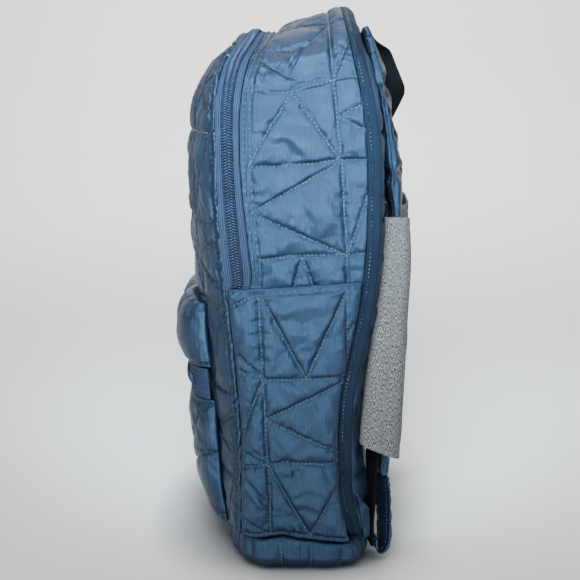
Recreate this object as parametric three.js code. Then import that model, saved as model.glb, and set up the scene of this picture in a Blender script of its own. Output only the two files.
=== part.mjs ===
// Quilted puffer backpack, an assembly of separate sewn pieces.
// Millimetres. +X is the wearer-side pocket seen in the side view, -Y the front, +Y the back, +Z up.
import * as THREE from 'three';

// ---------------------------------------------------------------- sizes
const Y_SHIFT = -7.22;         // moves the bag so that its box is centred on the origin
const SEAM = 0.4;              // gap that sewn neighbours keep
const Z_BASE = 27.5;           // where the walls meet the bottom tray
const Z_SPRING = 330;          // where the straight sides turn into the arch
const ARCH_N = 2.5;            // superellipse exponent of the arch
const HALF_W = 135;            // half width of the side band
const HALF_W_LOW = 133.5;      // half width of the band behind the side pockets
const POCKET_TOP = 215;        // hem height of the side pockets at the zip
const HEM_RISE = 6;            // rise of that hem towards the back seam
const CROWN = 404;             // nominal crown height, used to look rows up
const WALL = 7;                // thickness of the quilted walls
const BULGE_P = 3, BULGE_M = 0.8;

const TRAY = { halfW: 140.5, yMid: 8, back: 52, front: 46, frontBulge: 14, top: 26.9, wall: 8, n: 6 };
const TAPE = { out: 1.0, thick: 1.6 };
const COIL = { half: 4.25, low: 0.3, high: 2.3 };
const BINDING = { width: 8.5, thick: 3.4 };
const SIDE_POCKET = { edgeIn: 134.2, bellyIn: 5.6, edgeOut: 138.8, bellyOut: 5.8 };
const FRONT_POCKET = { halfW: 97, wall: 5, foot: 0.8, side: 8 };
const SLEEVE = { wall: 2 };
const WEB = { width: 25, thick: 2.2 };
const HANDLE = { half: 20, width: 21, thick: 2.6, corner: 16 };

// profile of the body: height along the outline, and the y of each seam there
const BODY = [
  // z,    panelEdge, bandFront, back,  panelMid, backBulge
  { z: 25,  panelEdge: -37, bandFront: -36.6, back: 55.0, panelMid: -52.0, backBulge: 6 },
  { z: 56,  panelEdge: -37, bandFront: -36.6, back: 47.5, panelMid: -57.0, backBulge: 11 },
  { z: 84,  panelEdge: -37, bandFront: -36.6, back: 46.0, panelMid: -60.3, backBulge: 8 },
  { z: 110, panelEdge: -37, bandFront: -36.6, back: 46.0, panelMid: -63.0, backBulge: 4 },
  { z: 138, panelEdge: -39, bandFront: -38.6, back: 48.0, panelMid: -66.0, backBulge: 2 },
  { z: 160, panelEdge: -41, bandFront: -40.6, back: 53.0, panelMid: -68.2, backBulge: 1.5 },
  { z: 195, panelEdge: -45, bandFront: -44.6, back: 60.0, panelMid: -70.8, backBulge: 1.5 },
  { z: 215, panelEdge: -47, bandFront: -30.0, back: 63.0, panelMid: -73.2, backBulge: 1.5 },
  { z: 244, panelEdge: -50, bandFront: -31.0, back: 65.3, panelMid: -76.5, backBulge: 1.5 },
  { z: 280, panelEdge: -52, bandFront: -35.0, back: 66.0, panelMid: -78.8, backBulge: 1.5 },
  { z: 316, panelEdge: -53, bandFront: -37.0, back: 65.3, panelMid: -78.3, backBulge: 1.5 },
  { z: 351, panelEdge: -53, bandFront: -36.0, back: 61.0, panelMid: -74.0, backBulge: 1.5 },
  { z: 379, panelEdge: -49, bandFront: -31.0, back: 54.0, panelMid: -63.0, backBulge: 1.5 },
  { z: 396, panelEdge: -40, bandFront: -22.0, back: 50.0, panelMid: -46.0, backBulge: 1.2 },
  { z: 404, panelEdge: -36, bandFront: -18.0, back: 49.0, panelMid: -37.0, backBulge: 1.0 },
];
// height of the crown along the depth of the bag
const CROWN_LINE = [
  { y: -60, z: 396 }, { y: -36, z: 401 }, { y: -27, z: 402.5 }, { y: -10, z: 402 }, { y: 12, z: 410 },
  { y: 36, z: 419.5 }, { y: 43, z: 420 }, { y: 52, z: 414 }, { y: 60, z: 405 },
];
// front pocket: how far its face stands off the front panel
const POCKET_TOP_FACE = [
  { z: 192, off: 0 }, { z: 197, off: 6 }, { z: 193, off: 12.5 }, { z: 183, off: 17.5 },
  { z: 170, off: 19.5 }, { z: 157, off: 18 }, { z: 146.6, off: 16.2 },
];
const POCKET_LOW_FACE = [
  { z: 121.4, off: 15.4 }, { z: 100, off: 17 }, { z: 78, off: 17.6 }, { z: 60, off: 16.6 },
  { z: 46, off: 14.4 }, { z: 34, off: 12 }, { z: 27, off: 8 }, { z: 24, off: 3 }, { z: 24.5, off: 0 },
];
// padded shoulder strap, centre line and section
const STRAP = [
  { z: 401, x: 54, y: 57.0, width: 58, thick: 6 },
  { z: 392, x: 55, y: 60.0, width: 59, thick: 8 },
  { z: 379, x: 57, y: 63.0, width: 60, thick: 10 },
  { z: 353, x: 62, y: 69.5, width: 60, thick: 11 },
  { z: 313, x: 69, y: 76.0, width: 58, thick: 11 },
  { z: 275, x: 75, y: 79.5, width: 53, thick: 11 },
  { z: 230, x: 81, y: 80.8, width: 49, thick: 10.5 },
  { z: 183, x: 87, y: 79.6, width: 46, thick: 10 },
  { z: 136, x: 95, y: 77.4, width: 41, thick: 9.5 },
  { z: 105, x: 101, y: 75.5, width: 34, thick: 9 },
  { z: 84,  x: 104, y: 73.0, width: 28, thick: 8 },
  { z: 67,  x: 106, y: 71.5, width: 26, thick: 7 },
];
// heather sleeve round the strap
const SLEEVE_PATH = [
  { z: 260, x: 77, y: 80.0, width: 63, thick: 22.5 },
  { z: 230, x: 81, y: 79.4, width: 62, thick: 25 },
  { z: 195, x: 86, y: 76.8, width: 60, thick: 27 },
  { z: 160, x: 91, y: 74.2, width: 59, thick: 29 },
  { z: 125, x: 96, y: 71.0, width: 56, thick: 31 },
  { z: 85,  x: 101, y: 67.6, width: 52, thick: 31.5 },
];
const SLEEVE_TILT = 0.30;      // drop of the lower hem per mm of depth
// black webbing, from the foot seam up into the sleeve; turn is its twist about the vertical
const WEBBING = [
  { z: 13,  x: 108, y: 61.6, turn: 6 }, { z: 30, x: 108, y: 61.8, turn: 7 },
  { z: 60,  x: 106.5, y: 62.6, turn: 12 }, { z: 84, x: 103.5, y: 63.2, turn: 18 },
  { z: 99,  x: 100.5, y: 63.0, turn: 18 },
];
// navy tail, from the strap end down and round a U
const TAIL = [
  { z: 66.2, x: 107, y: 71.2, turn: 16 }, { z: 52, x: 108, y: 71.6, turn: 22 },
  { z: 36,  x: 109, y: 72.0, turn: 22 }, { z: 22, x: 109.5, y: 72.4, turn: 20 },
  { z: 13,  x: 110, y: 71.4, turn: 16 }, { z: 9.2, x: 110, y: 68.6, turn: 12 },
  { z: 9.2, x: 110, y: 66.2, turn: 10 }, { z: 13.5, x: 110, y: 64.6, turn: 8 },
  { z: 19,  x: 110, y: 64.8, turn: 7 },
];
// folded triangle of cloth between the back corner and the webbing foot; s runs outwards from the corner
const TAB = [{ s: 10.8, z: 21 }, { s: 15.6, z: 21 }, { s: 15.6, z: 43 }, { s: 1.8, z: 58 }, { s: 6.2, z: 41 }];
const TAB_AT = { x: 130.5, y: 48, thick: 2 };
const FAR_STRAP_OUT = 12;      // the strap on the -X side stands this much further out

// ---------------------------------------------------------------- colours
const COLOUR = {
  quilt: 0x4d7ba6, shade: 0x3f6388, tape: 0x456a94, coil: 0x35536f, binding: 0x3d5f82,
  navy: 0x2f4663, heather: 0xaeb2b6, black: 0x101216, charcoal: 0x22262c, metal: 0x2b2e33,
};

// ---------------------------------------------------------------- helpers
const clamp = (v, a, b) => Math.min(b, Math.max(a, v));
const mix = (a, b, t) => a + (b - a) * t;
const smooth = (a, b, v) => { const t = clamp((v - a) / (b - a), 0, 1); return t * t * (3 - 2 * t); };

// smooth value of one column of a table at a key (Hermite through the rows)
function look(rows, key, column, at) {
  const up = rows[rows.length - 1][key] > rows[0][key];
  const r = up ? rows : [...rows].reverse();
  const v = clamp(at, r[0][key], r[r.length - 1][key]);
  let i = 0;
  while (i < r.length - 2 && v > r[i + 1][key]) i++;
  const slope = (k) => {
    const a = Math.max(0, k - 1), b = Math.min(r.length - 1, k + 1);
    return (r[b][column] - r[a][column]) / (r[b][key] - r[a][key]);
  };
  const h = r[i + 1][key] - r[i][key], t = (v - r[i][key]) / h;
  const t2 = t * t, t3 = t2 * t;
  return (2 * t3 - 3 * t2 + 1) * r[i][column] + (t3 - 2 * t2 + t) * h * slope(i)
    + (-2 * t3 + 3 * t2) * r[i + 1][column] + (t3 - t2) * h * slope(i + 1);
}
const straight = (rows, key, column, at) => {
  const r = rows[rows.length - 1][key] > rows[0][key] ? rows : [...rows].reverse();
  const v = clamp(at, r[0][key], r[r.length - 1][key]);
  let i = 0;
  while (i < r.length - 2 && v > r[i + 1][key]) i++;
  return mix(r[i][column], r[i + 1][column], (v - r[i][key]) / (r[i + 1][key] - r[i][key]));
};

// rows of a table as a smooth path with m steps; every column is carried along
function path(rows, m) {
  const keys = Object.keys(rows[0]);
  const out = [];
  for (let k = 0; k <= m; k++) {
    const f = (k / m) * (rows.length - 1), i = Math.min(rows.length - 2, Math.floor(f)), t = f - i;
    const row = {};
    for (const c of keys) {
      const p0 = rows[Math.max(0, i - 1)][c], p1 = rows[i][c], p2 = rows[i + 1][c];
      const p3 = rows[Math.min(rows.length - 1, i + 2)][c];
      row[c] = 0.5 * (2 * p1 + (p2 - p0) * t + (2 * p0 - 5 * p1 + 4 * p2 - p3) * t * t
        + (3 * p1 - p0 - 3 * p2 + p3) * t * t * t);
    }
    out.push(row);
  }
  return out;
}

// closed body from vertices and quads or triangles, turned so that it faces outwards
function closedBody(verts, faces) {
  let vol = 0;
  const tris = [];
  for (const f of faces) {
    tris.push([f[0], f[1], f[2]]);
    if (f.length === 4) tris.push([f[0], f[2], f[3]]);
  }
  const a = new THREE.Vector3(), b = new THREE.Vector3(), c = new THREE.Vector3();
  for (const t of tris) {
    a.fromArray(verts[t[0]]); b.fromArray(verts[t[1]]); c.fromArray(verts[t[2]]);
    vol += a.dot(b.cross(c));
  }
  const index = [];
  for (const t of tris) vol < 0 ? index.push(t[0], t[2], t[1]) : index.push(...t);
  const g = new THREE.BufferGeometry();
  g.setAttribute('position', new THREE.Float32BufferAttribute(verts.flat(), 3));
  g.setIndex(index);
  g.computeVertexNormals();
  return g;
}

// padded wall: an outer and an inner face over the same grid, joined round the edge
function wall(nu, nv, outer, inner) {
  const verts = [], faces = [];
  const id = (side, i, j) => side * (nu + 1) * (nv + 1) + j * (nu + 1) + i;
  for (const f of [outer, inner]) {
    for (let j = 0; j <= nv; j++) for (let i = 0; i <= nu; i++) verts.push(f(i / nu, j / nv));
  }
  for (let j = 0; j < nv; j++) for (let i = 0; i < nu; i++) {
    faces.push([id(0, i, j), id(0, i + 1, j), id(0, i + 1, j + 1), id(0, i, j + 1)]);
    faces.push([id(1, i, j), id(1, i, j + 1), id(1, i + 1, j + 1), id(1, i + 1, j)]);
  }
  for (let i = 0; i < nu; i++) {
    faces.push([id(0, i, 0), id(1, i, 0), id(1, i + 1, 0), id(0, i + 1, 0)]);
    faces.push([id(0, i, nv), id(0, i + 1, nv), id(1, i + 1, nv), id(1, i, nv)]);
  }
  for (let j = 0; j < nv; j++) {
    faces.push([id(0, 0, j), id(0, 0, j + 1), id(1, 0, j + 1), id(1, 0, j)]);
    faces.push([id(0, nu, j), id(1, nu, j), id(1, nu, j + 1), id(0, nu, j + 1)]);
  }
  return closedBody(verts, faces);
}

// rings of points joined one to the next; both ends are closed, or the rings close on themselves
function rings(list, hollow = false) {
  const n = list[0].length, verts = list.flat(), faces = [];
  const last = hollow ? list.length : list.length - 1;
  for (let k = 0; k < last; k++) {
    const a = k * n, b = ((k + 1) % list.length) * n;
    for (let i = 0; i < n; i++) {
      const j = (i + 1) % n;
      faces.push([a + i, a + j, b + j, b + i]);
    }
  }
  if (!hollow) {
    for (const [k, flip] of [[0, true], [list.length - 1, false]]) {
      const c = verts.length;
      const mid = [0, 0, 0];
      for (const p of list[k]) for (let d = 0; d < 3; d++) mid[d] += p[d] / n;
      verts.push(mid);
      for (let i = 0; i < n; i++) {
        const j = (i + 1) % n;
        faces.push(flip ? [c, k * n + j, k * n + i] : [c, k * n + i, k * n + j]);
      }
    }
  }
  return closedBody(verts, faces);
}

// section of a strap, round-edged: width along w, thickness along t
function section(p, w, t, width, thick, n, power = 4) {
  const out = [];
  for (let i = 0; i < n; i++) {
    const a = ((i + 0.5) / n) * Math.PI * 2, c = Math.cos(a), s = Math.sin(a);
    const k = 1 / (Math.abs(c) ** power + Math.abs(s) ** power) ** (1 / power);
    const u = c * k * width / 2, v = s * k * thick / 2;
    out.push([p.x + w.x * u + t.x * v, p.y + w.y * u + t.y * v, p.z + w.z * u + t.z * v]);
  }
  return out;
}
// frames along a path: the width direction is turned about the vertical
function frames(rows) {
  return rows.map((r, k) => {
    const a = rows[Math.max(0, k - 1)], b = rows[Math.min(rows.length - 1, k + 1)];
    const along = new THREE.Vector3(b.x - a.x, b.y - a.y, b.z - a.z).normalize();
    const turn = THREE.MathUtils.degToRad(r.turn || 0);
    const w = new THREE.Vector3(Math.cos(turn), Math.sin(turn), 0);
    w.addScaledVector(along, -w.dot(along)).normalize();
    const t = new THREE.Vector3().crossVectors(along, w).normalize();
    return { p: new THREE.Vector3(r.x, r.y, r.z), w, t, r };
  });
}

// ---------------------------------------------------------------- body outline
const crownAt = (y) => straight(CROWN_LINE, 'y', 'z', y);
const halfAt = (z) => mix(HALF_W_LOW, HALF_W, smooth(214, 236, z));

// point of the arch-shaped plan: u across -1..1, v -1 at the base, 0 at the spring line, 1 at the crown
function plan(u, v, inset, crown, base = Z_BASE) {
  if (v <= 0) {
    const z = Z_SPRING + v * (Z_SPRING - base);
    return { x: (halfAt(z) - inset) * u, z, q: z, r: Math.abs(u) };
  }
  const m = Math.max(Math.abs(u), v);
  const k = m / (Math.abs(u) ** ARCH_N + v ** ARCH_N) ** (1 / ARCH_N);
  return {
    x: (HALF_W - inset) * u * k, z: Z_SPRING + (crown - inset - Z_SPRING) * v * k,
    q: Z_SPRING + (CROWN - Z_SPRING) * v * k, r: m,
  };
}
// point of the outline itself: s 0..1 from the right foot over the crown to the left foot
const RUN = 0.32;
function outline(s, inset, crown, base = Z_BASE) {
  const side = s > 0.5 ? -1 : 1, h = s > 0.5 ? 1 - s : s;
  if (h <= RUN) {
    const z = mix(base, Z_SPRING, h / RUN);
    return { x: side * (halfAt(z) - inset), z, q: z };
  }
  const a = ((h - RUN) / (0.5 - RUN)) * Math.PI / 2;
  const k = 1 / (Math.cos(a) ** ARCH_N + Math.sin(a) ** ARCH_N) ** (1 / ARCH_N);
  return {
    x: side * (HALF_W - inset) * Math.max(0, Math.cos(a)) * k,
    z: Z_SPRING + (crown - inset - Z_SPRING) * Math.sin(a) * k,
    q: Z_SPRING + (CROWN - Z_SPRING) * Math.sin(a) * k,
  };
}
// stations along the outline that every long piece shares, so that neighbours keep one edge line
const STATION_Z = [27.5, 60, 92, 124, 156, 180, 198, 206.5, 215, 235, 255, 275, 295, 315, 330];
const ARCH_STEPS = 11;
const half = STATION_Z.map((z) => RUN * (z - Z_BASE) / (Z_SPRING - Z_BASE));
for (let k = 1; k <= ARCH_STEPS; k++) half.push(RUN + (0.5 - RUN) * k / ARCH_STEPS);
const STATIONS = [...half, ...half.slice(0, -1).reverse().map((v) => 1 - v)];
const ZIP_FIRST = STATION_Z.indexOf(206.5);
const ZIP_STATIONS = STATIONS.slice(ZIP_FIRST, STATIONS.length - ZIP_FIRST);
const COIL_STATIONS = ZIP_STATIONS.slice(1, -1);
const station = (list, a) => list[Math.round(a * (list.length - 1))];
const body = (column, q) => look(BODY, 'z', column, q);
const bandFront = (q) => q >= POCKET_TOP ? body('bandFront', q)
  : mix(body('panelEdge', q), body('bandFront', POCKET_TOP), smooth(198, POCKET_TOP, q));
const bulge = (r) => (1 - Math.min(1, r) ** BULGE_P) ** BULGE_M;
// outer face of the front panel in front of a point of the plan
function frontFace(q, r) { return mix(body('panelEdge', q), body('panelMid', q), bulge(r)); }

// ---------------------------------------------------------------- pieces
const bag = new THREE.Group();
function add(name, geometry, colour, roughness = 0.6, metalness = 0) {
  const mesh = new THREE.Mesh(geometry, new THREE.MeshStandardMaterial({ color: colour, roughness, metalness }));
  mesh.name = name;
  mesh.position.y = Y_SHIFT;
  bag.add(mesh);
  return mesh;
}
const both = (make) => { for (const [tag, side] of [['right', 1], ['left', -1]]) make(tag, side); };
const vOf = (j) => j * 2 - 1;

// front panel
function frontPoint(inset, depth) {
  return (a, b) => {
    const u = a * 2 - 1, v = b < 0.78 ? b / 0.78 - 1 : (b - 0.78) / 0.22;
    const edge = crownAt(-36);
    const p = plan(u, v, inset, edge);
    const r = v > 0 ? p.r : Math.abs(u);
    const e = body('panelEdge', p.q) - SEAM;
    const d = body('panelMid', p.q) - body('panelEdge', p.q);
    return [p.x, e + (d + depth) * bulge(r), p.z];
  };
}
add('front_panel', wall(16, 20, frontPoint(0.3, 0), frontPoint(WALL, WALL * 0.95)), COLOUR.quilt, 0.5);

// side band over the top
function bandPoint(inset) {
  return (at, b) => {
    const a = station(STATIONS, at), q = outline(a, 0, CROWN).q;
    const y = mix(bandFront(q) + SEAM, body('back', q) - BINDING.width - SEAM - 0.3, b);
    const p = outline(a, inset, crownAt(y));
    return [p.x, y, p.z];
  };
}
add('side_band', wall(STATIONS.length - 1, 5, bandPoint(0), bandPoint(WALL)), COLOUR.quilt, 0.5);

// back panel, inside the ring of the binding
function backPoint(inset, drop) {
  return (a, b) => {
    const u = a * 2 - 1, v = b < 0.78 ? b / 0.78 - 1 : (b - 0.78) / 0.22;
    const p = plan(u, v, inset, crownAt(50));
    const y = body('back', p.q) - 0.8 + body('backBulge', p.q) * bulge(v > 0 ? p.r : Math.abs(u)) - drop;
    return [p.x, y, p.z];
  };
}
add('back_panel', wall(12, 16, backPoint(BINDING.thick + 0.5, 0), backPoint(BINDING.thick + 0.5, WALL)), COLOUR.shade, 0.6);

// binding round the back seam
function bindingPoint(inset) {
  return (at, b) => {
    const a = station(STATIONS, at), q = outline(a, 0, CROWN).q;
    const p = outline(a, inset, crownAt(47));
    return [p.x, body('back', q) - BINDING.width * (1 - b) - 0.3, p.z];
  };
}
add('back_binding', wall(STATIONS.length - 1, 1, bindingPoint(-0.4), bindingPoint(BINDING.thick - 0.2)), COLOUR.binding, 0.6);

// main zip: tape, coil and slider
function tapePoint(inset) {
  return (a, b) => {
    const s = station(ZIP_STATIONS, a), q = outline(s, 0, CROWN).q;
    const y = mix(body('panelEdge', q) + 0.1, bandFront(q) - 0.1, b);
    const p = outline(s, inset, crownAt(y));
    return [p.x, y, p.z];
  };
}
add('main_zipper_tape', wall(ZIP_STATIONS.length - 1, 1, tapePoint(TAPE.out), tapePoint(TAPE.out + TAPE.thick)), COLOUR.tape, 0.8);
function coilPoint(lift, half) {
  return (a, b) => {
    const s = station(COIL_STATIONS, a), q = outline(s, 0, CROWN).q;
    const mid = (body('panelEdge', q) + body('bandFront', Math.max(q, POCKET_TOP))) / 2;
    const y = mid + half * (b * 2 - 1);
    const crown = lift * (1 - 0.45 * (b * 2 - 1) ** 2);
    const p = outline(s, TAPE.out - crown, crownAt(y));
    return [p.x, y, p.z];
  };
}
add('main_zipper_coil', wall(COIL_STATIONS.length - 1, 2, coilPoint(COIL.high, COIL.half - 0.6), coilPoint(COIL.low * 2, COIL.half)), COLOUR.coil, 0.45);
// slider: body, bridge and hanging pull in one outline, a along the zip and b away from it
function sliderGeometry(outline2, width) {
  const s = new THREE.Shape(outline2.map((c) => new THREE.Vector2(c.a, c.b)));
  const g = new THREE.ExtrudeGeometry(s, { depth: width, bevelEnabled: false });
  g.translate(0, 0, -width / 2);
  return g;
}
const SLIDER = [
  { a: -6.5, b: 0 }, { a: 6.5, b: 0 }, { a: 7, b: 0.6 }, { a: 6.5, b: 1.2 }, { a: 3.4, b: 1.6 }, { a: 2.4, b: 2.8 },
  { a: 1.4, b: 3.2 }, { a: -2.4, b: 3.2 }, { a: -4.2, b: 2.8 }, { a: -17.4, b: 2.8 }, { a: -18, b: 2.2 }, { a: -17.4, b: 1.6 },
  { a: -6.5, b: 1.5 },
];
{
  const z = 246, q = z, y = (body('panelEdge', q) + bandFront(q)) / 2, g = sliderGeometry(SLIDER, 9.5);
  const out = new THREE.Vector3(-1, 0, 0), up = new THREE.Vector3(0, 0, 1);
  g.applyMatrix4(new THREE.Matrix4().makeBasis(up, out, up.clone().cross(out)));
  g.translate(-(halfAt(z) - TAPE.out + COIL.high + 0.4), y, z);
  add('main_zipper_slider', g, COLOUR.metal, 0.4, 0.6);
}

// bottom tray
{
  const N = 40;
  const loop = (inset, z) => {
    const out = [];
    for (let i = 0; i < N; i++) {
      const a = ((i + 0.5) / N) * Math.PI * 2, c = Math.cos(a), s = Math.sin(a);
      const k = 1 / (Math.abs(c) ** TRAY.n + Math.abs(s) ** TRAY.n) ** (1 / TRAY.n);
      const px = c * k, py = s * k;
      const depth = py > 0 ? TRAY.back : TRAY.front + TRAY.frontBulge * (1 - px * px);
      out.push([px * (TRAY.halfW - inset), TRAY.yMid + py * (depth - inset), z]);
    }
    return out;
  };
  const list = [
    loop(30, 0), loop(13, 0), loop(4, 3), loop(0.5, 9), loop(0, 16), loop(1, TRAY.top),
    loop(1 + TRAY.wall, TRAY.top), loop(TRAY.wall, 14), loop(15, TRAY.wall), loop(30, TRAY.wall),
  ];
  add('bottom_panel', rings(list), COLOUR.quilt, 0.5);
}

// side pockets, open at the hem
both((tag, side) => {
  const point = (edge, belly) => (a, b) => {
    const z = mix(Z_BASE + 0.2, POCKET_TOP + HEM_RISE * a, b);
    const y = mix(body('panelEdge', z) + 0.6, body('back', z) - BINDING.width - 1, a);
    const across = 1 - Math.abs(a * 2 - 1) ** 6, up = 1 - Math.abs(1 - b) ** 8;
    return [side * (edge + belly * across * up), y, z];
  };
  const s = SIDE_POCKET;
  add(`side_pocket_${tag}`, wall(8, 10, point(s.edgeOut, s.bellyOut), point(s.edgeIn, s.bellyIn)), COLOUR.quilt, 0.5);
});

// front pocket, above and below its zip
function pocketPoint(rows, inner) {
  const f = FRONT_POCKET;
  return (a, b) => {
    const u = a * 2 - 1, across = (1 - Math.abs(u) ** f.side) ** 0.5;
    const row = path(rows, 24)[Math.round(b * 24)];
    const next = path(rows, 24)[Math.min(24, Math.round(b * 24) + 1)];
    const prev = path(rows, 24)[Math.max(0, Math.round(b * 24) - 1)];
    let z = row.z, off = row.off;
    if (inner) {
      const dz = next.z - prev.z, dd = next.off - prev.off, l = Math.hypot(dz, dd);
      const end = off < 1 ? 1 : 0;                       // foot of the wall keeps to the panel
      const flat = b === 0 || b === 1 ? (end ? 0 : 1) : -1;
      if (end) { z += (row.z > 100 ? -1 : 1) * f.wall; off = 0; }
      else if (flat === 1) off -= f.wall;                // edge along the zip is cut square
      else { z += (dd / l) * -f.wall; off += (dz / l) * f.wall; }
    }
    const x = (f.halfW - (inner ? f.wall : 0)) * u;
    const face = frontFace(z, Math.abs(x) / halfAt(z));
    return [x, face - f.foot - Math.max(0, off) * across, z];
  };
}
add('front_pocket_top', wall(16, 8, pocketPoint(POCKET_TOP_FACE, false), pocketPoint(POCKET_TOP_FACE, true)), COLOUR.quilt, 0.5);
add('front_pocket_lower', wall(16, 8, pocketPoint(POCKET_LOW_FACE, false), pocketPoint(POCKET_LOW_FACE, true)), COLOUR.quilt, 0.5);
function pocketStrip(lo, hi, near, far, half) {
  const at = (off) => (a, b) => {
    const u = a * 2 - 1, x = half * u, z = mix(lo, hi, b);
    const across = (1 - Math.abs(x / FRONT_POCKET.halfW) ** FRONT_POCKET.side) ** 0.5;
    return [x, frontFace(z, Math.abs(x) / halfAt(z)) - FRONT_POCKET.foot - off * across, z];
  };
  return wall(16, 1, at(far), at(near));
}
add('pocket_zipper_tape', pocketStrip(121.9, 146.1, 13, 14.6, 96), COLOUR.tape, 0.8);
add('pocket_zipper_coil', pocketStrip(129.8, 138.3, 15.0, 17.0, 84), COLOUR.coil, 0.45);
{
  const x = -70, z = 134, g = sliderGeometry(SLIDER.map((c) => ({ a: Math.max(c.a, -11), b: c.b })).filter(
    (c, i, l) => i === 0 || c.a !== l[i - 1].a || c.b !== l[i - 1].b), 10);
  const across = (1 - (70 / FRONT_POCKET.halfW) ** FRONT_POCKET.side) ** 0.5;
  const out = new THREE.Vector3(0, -1, 0), up = new THREE.Vector3(0, 0, 1);
  g.applyMatrix4(new THREE.Matrix4().makeBasis(up, out, up.clone().cross(out)));
  g.rotateZ(-0.13);
  g.translate(x, frontFace(z, 70 / halfAt(z)) - FRONT_POCKET.foot - 17 * across - 1.8, z);
  add('pocket_zipper_slider', g, COLOUR.metal, 0.4, 0.6);
}

// shoulder straps with their sleeves, webbing, tails, adjusters and tabs
both((tag, side) => {
  const out = side > 0 ? 0 : 1;
  // the far strap leaves the bag at the same seam and swings out below it
  const place = (r) => ({ ...r, x: side * r.x, y: r.y + out * FAR_STRAP_OUT * smooth(395, 300, r.z) * smooth(8, 60, r.z),
    turn: side * (r.turn || 0) });
  const tube = (rows, m, n, power, shrink = 0) => frames(path(rows, m).map(place))
    .map((f) => section(f.p, f.w, f.t, f.r.width - shrink, f.r.thick - shrink, n, power));
  add(`shoulder_strap_${tag}`, rings(tube(STRAP, 18, 10, 3.2)), COLOUR.navy, 0.45);

  const tilt = (ring, k, m) => ring.map((p) => {
    const c = 67.6 + out * FAR_STRAP_OUT;
    return [p[0], p[1], p[2] - (k / m) ** 4 * SLEEVE_TILT * (p[1] - c)];
  });
  const m = 8, outer = tube(SLEEVE_PATH, m, 12, 3).map((r, k) => tilt(r, k, m));
  const inner = tube(SLEEVE_PATH, m, 12, 3, SLEEVE.wall * 2).map((r, k) => tilt(r, k, m));
  add(`strap_sleeve_${tag}`, rings([...outer, ...inner.reverse()], true), COLOUR.heather, 0.95);

  const ribbon = (rows, steps) => frames(path(rows, steps).map(place))
    .map((f) => section(f.p, f.w, f.t, WEB.width, WEB.thick, 4, 8));
  add(`strap_webbing_${tag}`, rings(ribbon(WEBBING, 8)), COLOUR.black, 0.85);
  add(`strap_tail_${tag}`, rings(ribbon(TAIL, 16)), COLOUR.navy, 0.6);

  const plate = new THREE.BoxGeometry(24, 3, 17);
  const a = place({ x: 98.5, y: 62.6, z: 110.5 });
  plate.translate(a.x, a.y, a.z);
  add(`strap_adjuster_${tag}`, plate, COLOUR.black, 0.5);

  // folded triangle of cloth on the lower back corner
  const tri = new THREE.Shape(TAB.map((c) => new THREE.Vector2(c.s, c.z)));
  const tab = new THREE.ExtrudeGeometry(tri, { depth: TAB_AT.thick, bevelEnabled: false });
  if (side < 0) tab.translate(0, 0, -TAB_AT.thick);
  const run = new THREE.Vector3(-0.66 * side, 0.75, 0).normalize(), rise = new THREE.Vector3(0, 0, 1);
  tab.applyMatrix4(new THREE.Matrix4().makeBasis(run, rise, run.clone().cross(rise)));
  tab.translate(side * TAB_AT.x, TAB_AT.y, 0);
  add(`webbing_tab_${tag}`, tab, COLOUR.shade, 0.6);
});

// grab handle: a loop that leaves the top seam flat and turns on edge at its middle
{
  const h = HANDLE, steps = 28, root = new THREE.Vector3(0, 61.9, 401.5), far = new THREE.Vector3(0, 86.5, 342.5);
  const flat = new THREE.Vector3(1, 0, 0), edge = new THREE.Vector3(0, -0.43, -0.9).normalize();
  const reach = root.distanceTo(far), pts = [];
  const leg = reach - h.corner, bend = h.corner * Math.PI / 2, top = 2 * (h.half - h.corner);
  const total = 2 * leg + 2 * bend + top;
  for (let k = 0; k <= steps; k++) {
    let d = (k / steps) * total; const mirror = d > total / 2 ? -1 : 1;
    if (mirror < 0) d = total - d;
    let x, along;
    if (d < leg) { x = h.half; along = d; }
    else if (d < leg + bend) {
      const a = (d - leg) / h.corner;
      x = h.half - h.corner * (1 - Math.cos(a)); along = leg + h.corner * Math.sin(a);
    } else { x = h.half - h.corner - (d - leg - bend); along = reach; }
    const p = root.clone().lerp(far, along / reach); p.x = mirror * x;
    pts.push({ p, twist: smooth(0.02, 0.4, d / (leg + bend)) * mirror });
  }
  const list = pts.map((o, k) => {
    const a = pts[Math.max(0, k - 1)].p, b = pts[Math.min(steps, k + 1)].p;
    const t = b.clone().sub(a).normalize();
    const w = flat.clone().multiplyScalar(Math.abs(o.twist) < 1 ? 1 - Math.abs(o.twist) : 0)
      .multiplyScalar(k > steps / 2 ? 1 : -1).addScaledVector(edge, Math.abs(o.twist));
    w.addScaledVector(t, -w.dot(t)).normalize();
    const n = new THREE.Vector3().crossVectors(t, w).normalize();
    return section(o.p, w, n, h.width, h.thick, 6, 6);
  });
  add('grab_handle', rings(list), COLOUR.charcoal, 0.85);
}

export default bag;
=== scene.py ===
import math
import bpy
import bmesh
import numpy as np
from mathutils import Matrix, Vector


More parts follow.
